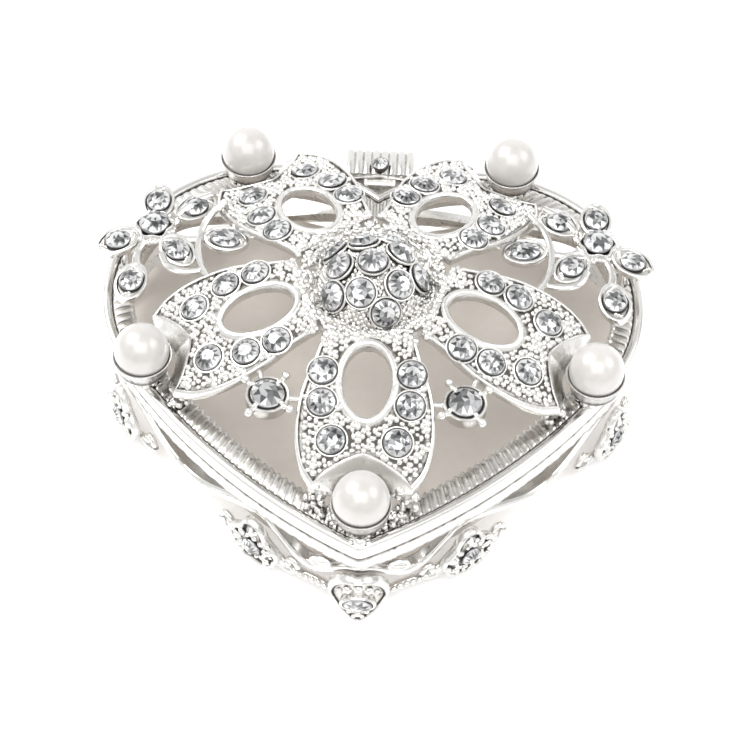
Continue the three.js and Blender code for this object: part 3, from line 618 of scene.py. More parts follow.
def petal_edge(reach, count):
    """The forked outline in directions evenly spread round the eye, and the eye's own edge."""
    tip_x = reach - PETAL_TIP_BACK
    length = tip_x - PETAL_ROOT
    knots = [(PETAL_ROOT + length * x, PETAL_HALF * y) for x, y in PETAL_SIDE]
    side = smooth_curve([(PETAL_ROOT, PETAL_ROOT_HALF), *knots, (tip_x, PETAL_TIP_HALF)], 60)
    t = np.linspace(0, 1, 24)[1:, None]
    notch = np.array([tip_x - FORK_DEPTH, 0])
    bend = np.array([tip_x - FORK_DEPTH * 0.75, PETAL_TIP_HALF / 2])
    fork = (1 - t) ** 2 * side[-1] + 2 * t * (1 - t) * bend + t**2 * notch
    root = np.column_stack([np.full(12, PETAL_ROOT), np.linspace(0, PETAL_ROOT_HALF, 13)[:-1]])
    upper = np.concatenate([root, side, fork])
    loop = np.concatenate([upper, upper[1:-1][::-1] * [1, -1]])[::-1]
    start, end = PETAL_ROOT + EYE_ROOT_WALL, tip_x - FORK_DEPTH - EYE_FORK_WALL
    centre = np.array([(start + end) / 2, 0])
    angle = np.unwrap(np.arctan2(loop[:, 1], loop[:, 0] - centre[0]))
    order = np.argsort(angle)
    wanted = np.linspace(angle.min(), angle.min() + 2 * np.pi, count, endpoint=False)
    edge = [np.interp(wanted, angle[order], loop[order, k], period=2 * np.pi) for k in (0, 1)]
    way = np.stack([np.cos(wanted), np.sin(wanted)], -1)
    ray = 1 / np.hypot(way[:, 0] / ((end - start) / 2), way[:, 1] / EYE_HALF_WIDTH)
    return np.stack(edge, -1), centre + ray[:, None] * way, centre


def petal_rings(reach, count):
    """Local rings of a petal, from its underside round its edge, over the field and down the eye."""
    edge, eye, centre = petal_edge(reach, count)
    rings, pits = [], []

    def row(xy, height, pit):
        rings.append(level(xy, height))
        pits.append(np.broadcast_to(pit, (count,)))

    outer = inset_rings(edge, centre, [d for d, _, _ in EDGE_PROFILE])
    at_root = np.clip((PETAL_ROOT + 1.6 - edge[:, 0]) / 1.2, 0, 1)  # the rim fades out at the cluster
    to_pearl = np.array([reach, 0]) - edge
    gap = np.linalg.norm(to_pearl, axis=1)
    from_side = PETAL_TIP_HALF - np.abs(edge[:, 1])
    in_fork = (edge[:, 0] > reach - PETAL_TIP_BACK - FORK_DEPTH - 0.05) & (from_side > 0)
    lean = in_fork * np.clip(from_side / 1.2, 0, 1) * np.clip(gap - 4.0, 0, 2.0)
    for k, (distance, height, pit) in enumerate(EDGE_PROFILE):
        share, drop = FORK_APRON[k] if k < len(FORK_APRON) else (0.0, 0.0)
        outer[k] = outer[k] + to_pearl / gap[:, None] * (lean * share)[:, None]  # slopes down to the cup
        flat = height if height < -0.2 else height * (1 - at_root)
        row(outer[k], flat - lean * drop, pit * (1 - 0.8 * at_root))
    away = eye - centre
    away /= np.linalg.norm(away, axis=1)[:, None]
    inner = [eye + away * d for d, _, _ in EYE_PROFILE]
    for k in range(1, FIELD_ROWS + 1):
        share = k / (FIELD_ROWS + 1)
        row(outer[-1] * (1 - share) + inner[0] * share, 0.05 * np.sin(np.pi * share), 0.85)
    for xy, (_, height, pit) in zip(inner, EYE_PROFILE):
        row(xy, height, pit)
    for share in (0.25, 0.5, 0.75):
        row(inner[-1] * (1 - share) + outer[0] * share, -PETAL_THICK, 0.3)
    return rings, pits, edge, eye


def inside(points, loop):
    """Which points are inside a closed loop."""
    x, y = points[:, :1], points[:, 1:2]
    x0, y0 = loop[:, 0], loop[:, 1]
    x1, y1 = np.roll(x0, -1), np.roll(y0, -1)
    crosses = ((y0 > y) != (y1 > y)) & (x < (x1 - x0) * (y - y0) / (y1 - y0 + 1e-12) + x0)
    return crosses.sum(1) % 2 == 1


def distance_to(points, loop):
    """Distance from each point to a closed loop's vertices."""
    return np.sqrt(((points[:, None] - loop[None]) ** 2).sum(-1)).min(1)


def field_grains(edge, eye, stones):
    """Where a petal's grains sit: a jittered triangular pattern, clear of rims and stones."""
    low, high = edge.min(0), edge.max(0)
    rows = enumerate(np.arange(low[1], high[1], GRAIN_PITCH * 0.866))
    points = [
        (x + (k % 2) * GRAIN_PITCH / 2, y) for k, y in rows for x in np.arange(low[0], high[0], GRAIN_PITCH)
    ]
    points = np.array(points)
    points = points + (rng.random(points.shape) - 0.5) * 0.35 * GRAIN_PITCH
    points = points[inside(points, edge) & ~inside(points, eye)]
    clear = (distance_to(points, edge) > 0.78) | (points[:, 0] < PETAL_ROOT + 1.2)
    clear &= distance_to(points, eye) > 1.2
    for centre in stones:
        clear &= np.hypot(*(points - centre).T) > PETAL_STONE_R + 0.22
    return points[clear]


def add_fork_foot(part, top):
    """A thin leg in a lump of grains, where a fork tip comes down to the lid's border."""
    depth, out = depth_in_box(top[:2])
    if depth > BORDER_INNER + 1.6:
        return
    foot = top[:2] + out * max(0.0, depth - BORDER_INNER + 0.9)
    for _ in range(30):
        share = rng.random()
        xy = top[:2] * share + foot * (1 - share) + (rng.random(2) - 0.5) * (2.6 - 1.2 * share)
        add_grain(part, [*xy, BAND_TOP + 0.1 + (top[2] - BAND_TOP) * share * 0.85], 0.42, 0.16)
    part.add(*tube(np.linspace([*foot, BAND_TOP + 0.05], top, 5), 0.5), 0.4)


def build_petal(name):
    centre = PEARLS[name][:2] - AXIS
    reach = np.hypot(*centre)
    cos, sin = centre / reach

    def over_dome(local):
        """Points and upward directions, for x along the petal, y across it and z over the dome."""
        local = np.atleast_2d(local)
        x = local[:, 0] * cos - local[:, 1] * sin
        y = local[:, 0] * sin + local[:, 1] * cos
        normal = np.stack([2 * DOME_FALL * x, 2 * DOME_FALL * y, np.ones(len(x))], -1)
        z = DOME_Z - DOME_FALL * (x**2 + y**2) + local[:, 2]
        return np.stack([x + AXIS[0], y + AXIS[1], z], -1), normal / np.linalg.norm(normal, axis=1)[:, None]

    part = Part()
    rings, pits, edge, eye = petal_rings(reach, 280)
    part.add(*loft([over_dome(r)[0] for r in rings], closed=True), np.concatenate(pits))
    points = field_grains(edge, eye, [np.array([x, side * y]) for x, y in PETAL_STONES for side in (1, -1)])
    radii = 0.36 + 0.16 * rng.random(len(points))
    places, ups = over_dome(level(points, -0.04 + 0.1 * rng.random(len(points))))
    add_grains(part, places, radii, ups)
    for side in (1, -1):
        tip = [reach - PETAL_TIP_BACK - 1.1, side * (PETAL_TIP_HALF - 1.1), -0.6]
        add_fork_foot(part, over_dome(tip)[0][0])
    for side in (1, -1):
        for x, y in PETAL_STONES:
            (origin,), (normal,) = over_dome([x, side * y, 0.0])
            add_seat(part, origin + normal * 0.26, normal, PETAL_STONE_R, 0.5)
            add_bezel(part, origin + normal * 0.16, normal, PETAL_STONE_R + 0.2)
            add_stone(part, origin + normal * 0.22, normal, PETAL_STONE_R, 0.75, 2)
    part.make(f"pave_petal_{name}", "lid", f"petal_{name}", [SILVER, OXIDE, CRYSTAL], "silver", 32)


# ---------------------------------------------------------------- pearls and cups
def build_pearl(name):
    centre = PEARLS[name]
    part = Part()
    verts, faces = ball_shape(56, 34)
    verts[-2] = (0, 0, -0.985)
    wobble = 1 + 0.002 * np.sin(3 * verts[:, 0] + 2 * verts[:, 2])
    part.add(verts * wobble[:, None] * PEARL_R + centre, faces)
    part.make(f"bead_{name}", "lid", f"pearl_{name}", [PEARL], "pearl", 60)

    cup = Part()
    foot, shell = box_of(f"pearl_cup_{name}")[0][2] - centre[2], PEARL_R + 0.05
    profile = [  # from the foot, up the outside to the lip, and down under the pearl
        (1.55, foot), (1.5, foot + 0.3), (1.2, foot + 0.62), (1.35, foot + 0.85), (2.4, foot + 1.15),
        (3.2, foot + 1.75), (3.62, -1.3), (3.74, -1.1), (3.76, -0.95), (3.68, -0.86),
        (3.56, -0.92), (3.49, -1.05),
    ]
    profile += [(r, -math.sqrt(shell**2 - r * r)) for r in (3.4, 3.1, 2.7, 2.2, 1.4, 0.7)]
    verts, faces = lathe(profile, 48)
    pit = 0.8 * (np.hypot(verts[:, 0], verts[:, 1]) < 3.52) * (verts[:, 2] > foot + 1.2)
    cup.add(verts + centre, faces, pit)
    count = 14
    for i in range(count):
        out = heading(2 * math.pi * (i + 0.3 * rng.random()) / count)
        add_grain(cup, centre + [*(2.05 * out), foot + 0.25], 0.42, 0.12, (*out, 1.4))
    cup.make(f"cup_{name}", "lid", f"pearl_cup_{name}", [SILVER], "silver")


# ---------------------------------------------------------------- cluster
CLUSTER_R = 7.2  # ball under the centre stones
CLUSTER_STONE_R = 1.86
CLUSTER_GRAINS, FILLET_GRAINS = 900, 460
GOLDEN_TURN = math.pi * (3 - math.sqrt(5))


def build_cluster():
    ball = np.array([*AXIS, HUB_HIGH[2] - CLUSTER_R])
    hub_r = (HUB_HIGH[0] - HUB_LOW[0]) / 2
    part = Part()
    fillet = [(hub_r - 0.1, 24.0), (hub_r - 0.5, 24.6), (8.7, 24.9), (8.2, 24.5), (7.6, 24.05), (7.1, 23.75)]
    profile = [(hub_r - 0.3, HUB_LOW[2]), (hub_r, HUB_LOW[2] + 0.3), *fillet]
    for share in np.arange(15) / 15:
        x, y = heading(math.acos((23.65 - ball[2]) / CLUSTER_R) * (1 - share))
        profile.append((CLUSTER_R * y, ball[2] + CLUSTER_R * x))
    verts, faces = lathe(profile, 64)
    part.add(verts + [*AXIS, 0], faces, 0.2)
    normals = np.array([middle_of(f"cluster_stone_{i}") - ball for i in range(1, 12)])
    normals /= np.linalg.norm(normals, axis=1)[:, None]
    # grains between the stones, then over the fillet to the petals' roots
    spread = []
    for i in range(CLUSTER_GRAINS):
        x, y = heading(i * GOLDEN_TURN)
        rise = 1 - (i + 0.5) / CLUSTER_GRAINS
        wide = math.sqrt(1 - rise * rise)
        spread.append([wide * x, wide * y, rise])
    spread = np.array(spread) + (rng.random((CLUSTER_GRAINS, 3)) - 0.5) * 0.03
    spread /= np.linalg.norm(spread, axis=1)[:, None]
    free = spread[(spread @ normals.T).max(1) < math.cos((CLUSTER_STONE_R + 0.2) / CLUSTER_R)]
    add_grains(part, ball + free * (CLUSTER_R + 0.05), 0.32 + 0.14 * rng.random(len(free)), free)
    slope_r, slope_z = zip((6.8, 23.7), *fillet[:1:-1], (hub_r, 24.7))
    for i in range(FILLET_GRAINS):
        r = 6.9 + (hub_r - 6.9) * rng.random()
        z = np.interp(r, slope_r, slope_z) + 0.15 * rng.random()
        add_grain(part, [*(AXIS + r * heading(i * GOLDEN_TURN)), z], 0.3, 0.16)
    for normal in normals:
        add_bezel(part, ball + normal * (CLUSTER_R + 0.35), normal, CLUSTER_STONE_R + 0.16, 0.15)
    part.make("cluster_body", "lid", "cluster_dome", [SILVER], "silver")
    for i, normal in enumerate(normals, 1):
        stone = Part()
        origin = ball + normal * (CLUSTER_R + 0.45)
        add_seat(stone, origin, normal, CLUSTER_STONE_R, 0.7)
        add_stone(stone, origin - normal * 0.06, normal, CLUSTER_STONE_R, 1.0)
        make_stone(stone, f"centre_stone_{i}", "lid", f"cluster_stone_{i}")


# ---------------------------------------------------------------- claw-set stones
def build_claw(hand):
    low, high = box_of(f"claw_stone_{hand}")
    foot = box_of(f"claw_setting_{hand}")[0][2]
    x, y, _ = (low + high) / 2
    stone_r = (high[0] - low[0]) / 2
    radial = math.atan2(y - AXIS[1], x - AXIS[0])
    girdle = low[2] + 0.85
    wall = stone_r + 0.55
    part = Part()
    profile = [
        (wall - 0.6, foot), (wall - 0.15, foot + 0.1), (wall, foot + 0.45),
        (wall - 0.06, girdle), (wall + 0.02, girdle + 0.34), (wall - 0.1, girdle + 0.46),
        (stone_r + 0.12, girdle + 0.40), (stone_r + 0.08, girdle), (stone_r - 0.4, girdle - 0.6),
    ]
    verts, faces = lathe(profile, 48)
    pit = 1.0 * (np.hypot(verts[:, 0], verts[:, 1]) < stone_r + 0.2) * (verts[:, 2] > foot + 0.2)
    part.add(verts + [x, y, 0], faces, pit)

    def place(out, distance, rise):
        return np.array([x, y, girdle + rise]) + out * distance

    for i in range(4):
        out = np.array([*heading(radial + i * math.pi / 2), 0])
        tip = place(out, wall + 0.85, 0.42)
        part.add(*tube(np.linspace(place(out, wall, 0.15), tip, 4), [0.42, 0.34, 0.3, 0.34]), 0.1)
        add_bead(part, tip, 0.56)
        add_bead(part, place(out, stone_r + 0.1, 0.5), 0.36, out + [0, 0, 2])
    for side in (1, -1):  # arms to the petals on both sides
        out = np.array([*heading(radial + side * math.radians(126)), 0])
        arm = np.linspace(place(out, wall - 0.2, -0.35), place(out, wall + 1.7, -0.35), 4)
        part.add(*tube(arm, 0.36), 0.15)
    part.make(f"claws_{hand}", "lid", f"claw_setting_{hand}", [SMOOTH], "silver", 50)
    stone = Part()
    add_seat(stone, place(out, 0, 0.1), UP, stone_r, 0.6)
    add_stone(stone, place(out, 0, 0), UP, stone_r, 1.5, hint=(0, 1, 0))
    make_stone(stone, f"round_stone_{hand}", "lid", f"claw_stone_{hand}")


# ---------------------------------------------------------------- sprays
SPRAY_ANGLE = math.radians(20.5)
SPRAY_INSET = 5.4  # the spray's flower to the outline
LEAF_HALF_LENGTH, LEAF_HALF_WIDTH = 3.1, 2.15
LEAF_STONE_R, FLOWER_STONE_R = 1.55, 1.95
LEAVES = [  # direction in degrees and distance from the spray's flower, tilt, lift
    (-28.5, 5.2, 0.10, 0.0), (-77, 9.5, 0.06, 0.1), (-130, 5.3, 0.0, 0.35),
    (145, 6.2, 0.05, 0.1), (93, 3.9, 0.02, 0.45), (190, 9.7, -0.04, 0.2),
]
LEGS = [(-33, 4.2), (86, 4.3)]  # direction in degrees and distance from the spray's flower
SPRAY_BARS = [  # from the petals' axis
    [(20.0, 14.6), (22.0, 12.4), (23.0, 9.0), (22.6, 5.0), (20.6, 0.9)],
    [(22.5, 3.6), (24.6, 3.4), (26.6, 4.2), (27.6, 6.2)],
    [(26.2, 12.6), (24.4, 14.9), (22.0, 16.4)],
]
LEAF_PROFILE = [  # inset, height, pit
    (0.35, -1.0, 0.3), (0.05, -0.85, 0.1), (0.0, -0.5, 0.0), (0.0, -0.1, 0.0), (0.08, 0.1, 0.0),
    (0.22, 0.18, 0.0), (0.4, 0.18, 0.0), (0.54, 0.06, 0.1), (0.62, -0.04, 0.45), (0.9, -0.04, 0.15),
]
FLOWER_PROFILE = [
    (0.5, -0.85, 0.3), (0.05, -0.55, 0.1), (0, 0.15, 0), (0.1, 0.47, 0), (0.3, 0.65, 0),
    (0.48, 0.55, 0.2), (0.6, 0.35, 1), (1.0, 0.35, 1),
]


def reach_of(angle):
    """Flower axis to the lobe in a direction on its side."""
    to = LOBE - AXIS
    b = heading(angle) @ to
    return b + math.sqrt(b * b - to @ to + LOBE_R**2)


def navette(half_length, half_width):
    """A leaf outline, pointed at both ends, anticlockwise."""
    cos, sin = around(64)[1].T
    return np.stack([half_length * cos, half_width * np.sign(sin) * np.abs(sin) ** 1.15], -1)


def build_spray(hand):
    side = HANDS[hand]
    top = box_of(f"spray_{hand}")[1][2]
    middle = AXIS + heading(SPRAY_ANGLE) * (reach_of(SPRAY_ANGLE) - SPRAY_INSET)
    part = Part()

    def solid(verts, faces, pit=0.0, slot=0, tint=1.0):
        """Adds a shape given from the spray's flower, on this hand's side."""
        verts = (np.asarray(verts, float) + [*middle, top]) * [side, 1, 1]
        part.add(verts, faces if side > 0 else [f[::-1] for f in faces], pit, slot, tint)

    def grain(at, radius, dark, darkest):
        unit, faces = UNIT_BALL
        solid(unit * radius + at, faces, np.clip(dark - unit[:, 2], 0, darkest))

    for i, (degrees, distance, tilt, lift) in enumerate(LEAVES):
        out = heading(math.radians(degrees))
        across = np.array([-out[1], out[0]])
        turned = np.array([[*out, 0], [*across, 0], [0, 0, 1.0]])

        def place(local):
            return (local + [distance, 0, lift] - tilt * (local[:, :1] + 1) * UP) @ turned

        solid(*plate(navette(LEAF_HALF_LENGTH, LEAF_HALF_WIDTH), LEAF_PROFILE, place, 0.7))
        # the leaf's stone in its seat, and a few grains at both of its ends
        long = 1.35 if distance > 9.6 else 1.12
        verts, faces, tints = gem(LEAF_STONE_R, 0.8, long)
        solid((verts + [distance, 0, lift - 0.06]) @ turned, faces, 0.0, 2, tints)
        wall = LEAF_STONE_R + 0.08
        verts, faces = lathe([(0.9, -0.5), (wall, -0.4), (wall, 0.06), (0.9, 0.08)], 24)
        solid((verts * [long, 1, 1] + [distance, 0, lift - 0.09]) @ turned, faces, 1.0, 1)
        for end in (-1, 1):
            for k in range(3):
                at = place(np.array([[end * (1.75 + 0.22 * k), (k - 1) * 0.32, -0.02]]))
                grain(at, 0.24 + 0.06 * rng.random(), 0.3, 1)
        # a bowed stalk from the flower
        t = np.linspace(0, 1, 9)[:, None]
        bow = across * (0.9 if i % 2 else -0.9) * np.sin(np.pi * t) * min(1, distance / 9)
        xy = out * 1.2 * (1 - t) + out * (distance - LEAF_HALF_LENGTH * 0.8) * t + bow
        solid(*tube(np.column_stack([xy, -0.55 + (lift - 0.1) * t]), 0.55), 0.12)
    # the flower in the middle, with its larger stone in a clump of grains
    turn, ring = around(96)
    edge = ring * (2.45 + 0.2 * np.cos(6 * turn))[:, None]
    solid(*plate(edge, FLOWER_PROFILE, lambda local: local, 1.0))
    verts, faces, tints = gem(FLOWER_STONE_R, 1.0)
    solid(verts + [0, 0, 0.55], faces, 0.0, 2, tints)
    count = 34
    for k in range(count):
        way = heading(2 * np.pi * (k + rng.random()) / count)
        xy = (2.3 + 0.4 * rng.random()) * way
        grain([*xy, -0.1 - 0.3 * rng.random()], 0.34 + 0.14 * rng.random(), 0.2, 0.9)
    for knots in SPRAY_BARS:
        arch = 0.9 * np.linspace(1, -1, 20) ** 2 * (len(knots) == 5)  # the long bar rises to both petals
        solid(*tube(level(smooth_curve(knots, 20) - middle + AXIS, 0.25 + arch), 0.48), 0.08)
    for degrees, distance in LEGS:
        xy = heading(math.radians(degrees)) * distance
        path = np.linspace([*xy, BAND_TOP + 0.02 - top], [*xy, -0.4], 4)
        solid(*tube(path, [0.85, 0.5, 0.48, 0.75], 16), 0.1)
    part.make(f"leaf_spray_{hand}", "lid", f"spray_{hand}", [SMOOTH, OXIDE, CRYSTAL], "silver", 32)


# ---------------------------------------------------------------- lid ring
RIB_PITCH, RIB_DEPTH = 1.25, 0.42
SAMPLES_PER_RIB = 8


def build_lid_ring():
    ribs = round(HALF_LENGTH / RIB_PITCH)
    s = np.linspace(0, HALF_LENGTH, ribs * SAMPLES_PER_RIB + 1)
    wave = 0.5 + 0.5 * np.cos(2 * np.pi * s / (HALF_LENGTH / ribs))
    bar = np.clip((wave - 0.28) / 0.45, 0, 1)
    bar = bar * bar * (3 - 2 * bar)
    low, band, top, inner = LID_LOW[2], BAND_TOP, BAND_TOP - 0.12, -BORDER_INNER
    groove, dark, step = top - RIB_DEPTH * (1 - bar), 0.3 * (1 - bar), 0.12 * bar
    part = Part()
    sweep(part, s, [
        (-1.75, low, 0.3), (-0.55, low, 0.9), (-0.2, low + 0.07, 0.8), (-0.03, low + 0.22, 0.1),
        (0.0, low + 0.8, 0.0), (0.0, band - 0.75, 0.0), (-0.06, band - 0.35, 0.0), (-0.25, band - 0.1, 0.0),
        (-0.6, band, 0.0), (-1.0, band - 0.06, 0.0), (-1.22, band - 0.2, 0.2), (-1.3, band - 0.42, 0.85),
        (-1.38, band - 0.42, 0.85), (-1.56, groove - 0.06, dark), (-1.75, groove, dark),
        (-2.6, groove + 0.02, dark), (-3.5, groove, dark), (inner + 0.32 - step, groove - 0.05, dark),
        (inner + 0.12 - step, groove - 0.22, dark), (inner + 0.1 - 0.1 * bar, top - 0.8, 0.2),
        (inner + 0.2, top - 0.95, 0.3), (-1.9, top - 0.95, 0.3),
    ])
    for _ in range(70):  # lumps of grains on the border beside the front pearl
        side = 1 if rng.random() < 0.5 else -1
        s = [0.4 + 6.5 * rng.random() ** 1.3]
        at = on_wall(side, s, -1.7 - 2.2 * rng.random(), top - 0.05 + 0.15 * rng.random())
        add_grain(part, at, 0.34, 0.16)
    part.make("lid_ring", "lid", "lid_casting", [SMOOTH], "silver", 38)

    bead = Part()
    low, high = box_of("tip_bead")
    centre = (low + high) / 2
    add_bead(bead, centre + [0, 0, -0.05], (high[0] - low[0]) / 2, (0, -0.3, 1), -0.5)
    for i in range(9):
        x, y = heading(math.pi * (0.05 + 0.9 * i / 8))
        add_grain(bead, centre + [1.05 * x, 0.95 * y, -0.45], 0.33, 0.08)
    bead.make("tip_ball", "lid", "tip_bead", [SILVER], "silver", 50)


# ---------------------------------------------------------------- base ring
RIM_HEIGHT = 2.6
STRAP_HEIGHT, STRAP_DROP = 1.8, 3.8
FIRST_BOSS = 15.5  # along the outline from the tip
LAST_BAY = 1.3  # length of the bay at the hinge, in bays
BAY = (HALF_LENGTH - FIRST_BOSS) / (2 + LAST_BAY)
BOSSES = [FIRST_BOSS, FIRST_BOSS + BAY, FIRST_BOSS + 2 * BAY]
RIM_BOTTOM = RIM_TOP - RIM_HEIGHT
STRAP_TOP = RIM_BOTTOM - STRAP_HEIGHT / 2 + 0.4
CURL = [(-2.6, 1.5), (-1.0, 1.0), (0.5, 1.5), (1.1, 2.9), (0.3, 4.0), (-0.6, 3.6), (-0.5, 2.9)]


def strap_fall(s):
    """How far the wavy strap hangs under its peaks."""
    peaks = np.array([0, *BOSSES, HALF_LENGTH])
    bay = np.clip(np.searchsorted(peaks, s, side="right") - 1, 0, len(peaks) - 2)
    turn = 2 * np.pi * (s - peaks[bay]) / (peaks[bay + 1] - peaks[bay])
    return -(STRAP_DROP + STRAP_HEIGHT / 2) * (1 - np.cos(turn)) / 2


def build_base_ring():
    part = Part()
    s = np.linspace(0, HALF_LENGTH, 420)
    ripple = 0.035 * np.sin(s * 1.9) + 0.025 * np.sin(s * 4.3 + 1)
    rim = [  # grow, height over the rim's bottom or under its top, pit
        (-1.9, 0.1, 0.3), (-1.6, 0.0, 0.3), (-0.5, 0.0, 0.2), (-0.2, 0.1, 0.0), (-0.04, 0.4, 0.0),
        (0.0, 1.0, 0.0), (0.0, RIM_HEIGHT - 0.8, 0.0), (-0.05, RIM_HEIGHT - 0.35, 0.0),
        (-0.22, RIM_HEIGHT - 0.1, 0.6), (-0.5, RIM_HEIGHT, 0.9), (-0.8, RIM_HEIGHT, 0.9),
        (-1.7, RIM_HEIGHT, 0.3), (-1.9, RIM_HEIGHT - 0.15, 0.3),
    ]
    sweep(part, s, [(g + (ripple if g > -0.3 else 0), RIM_BOTTOM + h, pit) for g, h, pit in rim])
    middle, half = STRAP_TOP + strap_fall(s), STRAP_HEIGHT / 2
    strap = [  # grow, height from the strap's middle, pit
        (-1.8, -half, 0.3), (-0.75, -half, 0.2), (-0.45, -half + 0.15, 0.0), (-0.36, -half + 0.5, 0.0),
        (-0.36, 0.05, 0.0), (-0.45, 0.32, 0.25), (-0.58, 0.40, 1.0), (-0.58, 0.48, 1.0), (-0.42, 0.56, 0.2),
        (-0.40, half - 0.2, 0.0), (-0.55, half - 0.04, 0.0), (-0.8, half, 0.1), (-1.8, half, 0.3),
    ]
    sweep(part, s, [(g, middle + h, pit) for g, h, pit in strap])
    for side in (1, -1):
        for boss in BOSSES:
            for way in (1, -1):
                add_curl(part, side, boss + way * 5.4, way)
        add_front_bay(part, side)
    part.make("base_ring", "base", "base_casting", [SMOOTH], "silver", 38)


def add_curl(part, side, s, way):
    """A small scroll that springs from a fan's side and ends in a ball."""
    x, z = smooth_curve(CURL, 22).T
    path = on_wall(side, s + way * x, -0.45, z)
    part.add(*tube(path, np.linspace(0.5, 0.42, len(path))), 0.1)
    add_bead(part, path[-1], 0.6)


def add_front_bay(part, side):
    """A grained rail low in the bay beside the shield, and a small leaf hanging over the strap."""
    t = np.linspace(0, 1, 22)
    rail = on_wall(side, 2.2 + (FIRST_BOSS - 4.6) * t, -0.7, 1.7 + 0.9 * t + 0.5 * np.sin(2 * np.pi * t))
    part.add(*tube(rail, 0.55), 0.1)
    for k in range(9):
        at = on_wall(side, [3.0 + k * 0.95], -0.25, 2.0 + 0.5 * math.sin(k * 0.7) + 0.09 * k)
        add_grain(part, at, 0.42, 0.1, (0, -1, 0.6))
    origin, along, out = spot(side, 5.6, 0.1, RIM_BOTTOM - 1.9)
    cos, sin = heading(math.radians(35))
    x, y = -side * along * cos + np.array([0, 0, sin]), side * along * sin + np.array([0, 0, cos])

    def place(local):
        return placed(local, origin, x, y, out * 0.6)

    verts, faces, pits = plate(navette(1.9, 1.15), LEAF_PROFILE, place, 0.8)
    part.add(verts, outward(verts, faces), pits)
    vein = np.column_stack([np.linspace(-1.3, 1.3, 7), np.zeros(7), np.full(7, -0.05)])
    part.add(*tube(place(vein), 0.14))


# ---------------------------------------------------------------- fans and shield
FAN_HALF, FAN_HIGH, FAN_STONE_LEVEL = 4.3, 9.4, 4.0
FAN_STONE_R = 1.4
FAN_PROFILE = [
    (0.5, 0.0, 0.3), (0.05, 0.05, 0.3), (0.0, 0.35, 0.0), (0.0, 0.85, 0.0), (0.1, 1.15, 0.0),
    (0.28, 1.28, 0.0), (0.5, 1.2, 0.1), (0.68, 0.92, 0.8), (0.9, 0.8, 0.9), (1.5, 0.95, 0.45),
]
SHIELD_HALF, SHIELD_HIGH, SHIELD_LEVEL = 3.9, 9.6, 4.8
SHIELD_STONE_R, SHIELD_STONE_LONG = 1.27, 1.45
SHIELD_PROFILE = [
    (0.5, 0.0, 0.3), (0.05, 0.1, 0.2), (0.0, 0.4, 0.0), (0.0, 0.85, 0.0), (0.06, 1.15, 0.0),
    (0.22, 1.32, 0.0), (0.42, 1.3, 0.0), (0.56, 1.12, 0.6), (0.66, 0.98, 1.0), (0.85, 1.0, 0.55),
    (1.8, 1.07, 0.15), (2.4, 1.07, 0.15),
]
SHIELD_BEADS = [  # x, height over the stone's level, radius
    (-1.3, 2.5, 0.62), (1.3, 2.5, 0.62), (0.0, 3.3, 0.6), (-2.3, 1.5, 0.4), (2.3, 1.5, 0.4), (0, 1.9, 0.35),
    (-1.1, -2.6, 0.4), (1.1, -2.6, 0.4), (0.0, -2.9, 0.45), (-0.5, -3.5, 0.35), (0.5, -3.5, 0.35),
]


def fan_edge():
    """Scalloped leaf outline about its stone: five lobes above, a small foot below."""
    t, ring = around(180)
    x, y = ring.T
    below = np.where(y > 0, FAN_HIGH - FAN_STONE_LEVEL, FAN_STONE_LEVEL)
    reach = 1 / np.sqrt((x / FAN_HALF) ** 2 + (y / below) ** 2)
    t = t - np.pi / 2
    lobes = 0.9 + 0.10 * np.abs(np.sin(2.5 * t + np.pi / 2))
    waist = 1 - 0.22 * (np.exp(-((t / 0.5 - 1.6) ** 2)) + np.exp(-((t / 0.5 + 1.6) ** 2)))
    return ring * (reach * lobes * waist)[:, None]


def build_fan(name, side, boss):
    origin, along, out = spot(side, boss, -0.1, FAN_STONE_LEVEL)
    part = Part()

    def place(local):
        return placed(np.atleast_2d(local), origin, along * side, np.array(UP), out)

    edge = fan_edge()
    verts, faces, pits = plate(edge, FAN_PROFILE, place, 0.6)
    part.add(verts, outward(verts, faces), pits)
    t = np.linspace(0, 1, 7)
    for degrees in (90, 50, 130, 14, 166, -35, 215):  # ribs from the stone
        reach = 2.0 + ((4.2 if degrees == 90 else 3.3) - 2.0) * t
        rib = level(np.outer(reach, heading(math.radians(degrees))), 1.0 + 0.12 * np.sin(np.pi * t))
        part.add(*tube(place(rib), np.interp(t, [0, 0.5, 1], [0.3, 0.42, 0.2])), 0.05)
    for k in range(12):
        at = place([*(2.05 * heading(2 * math.pi * k / 12 + 0.2)), 1.0])
        add_grain(part, at, 0.36, 0.08, out)
    for _ in range(26):
        way, r = heading(2 * math.pi * rng.random()), 2.5 + 1.2 * rng.random()
        xy = r * way * [0.95, 1.1]
        if xy[1] >= -FAN_STONE_LEVEL + 0.7 and inside(xy[None], edge)[0]:
            add_grain(part, place([*xy, 0.95 + 0.1 * rng.random()]), 0.3, 0.14, out)
    part.make(f"fan_{name}", "base", f"boss_{name}", [SILVER], "silver")
    stone = Part()
    seat = place([0, 0, 1.0])[0]
    add_seat(stone, seat, out, FAN_STONE_R, 0.5)
    add_stone(stone, seat, out, FAN_STONE_R, 0.95)
    make_stone(stone, f"fan_stone_{name}", "base", f"boss_stone_{name}")


def shield_edge():
    """The cartouche: rounded shoulders above and a point below."""
    _, ring = around(160)
    x, y = ring.T
    power = np.where(y > 0, 2.0, 1.45)
    half = np.where(y > 0, SHIELD_HIGH - SHIELD_LEVEL, SHIELD_LEVEL)
    reach = (np.abs(x / SHIELD_HALF) ** power + np.abs(y / half) ** power) ** (-1 / power)
    return ring * reach[:, None]


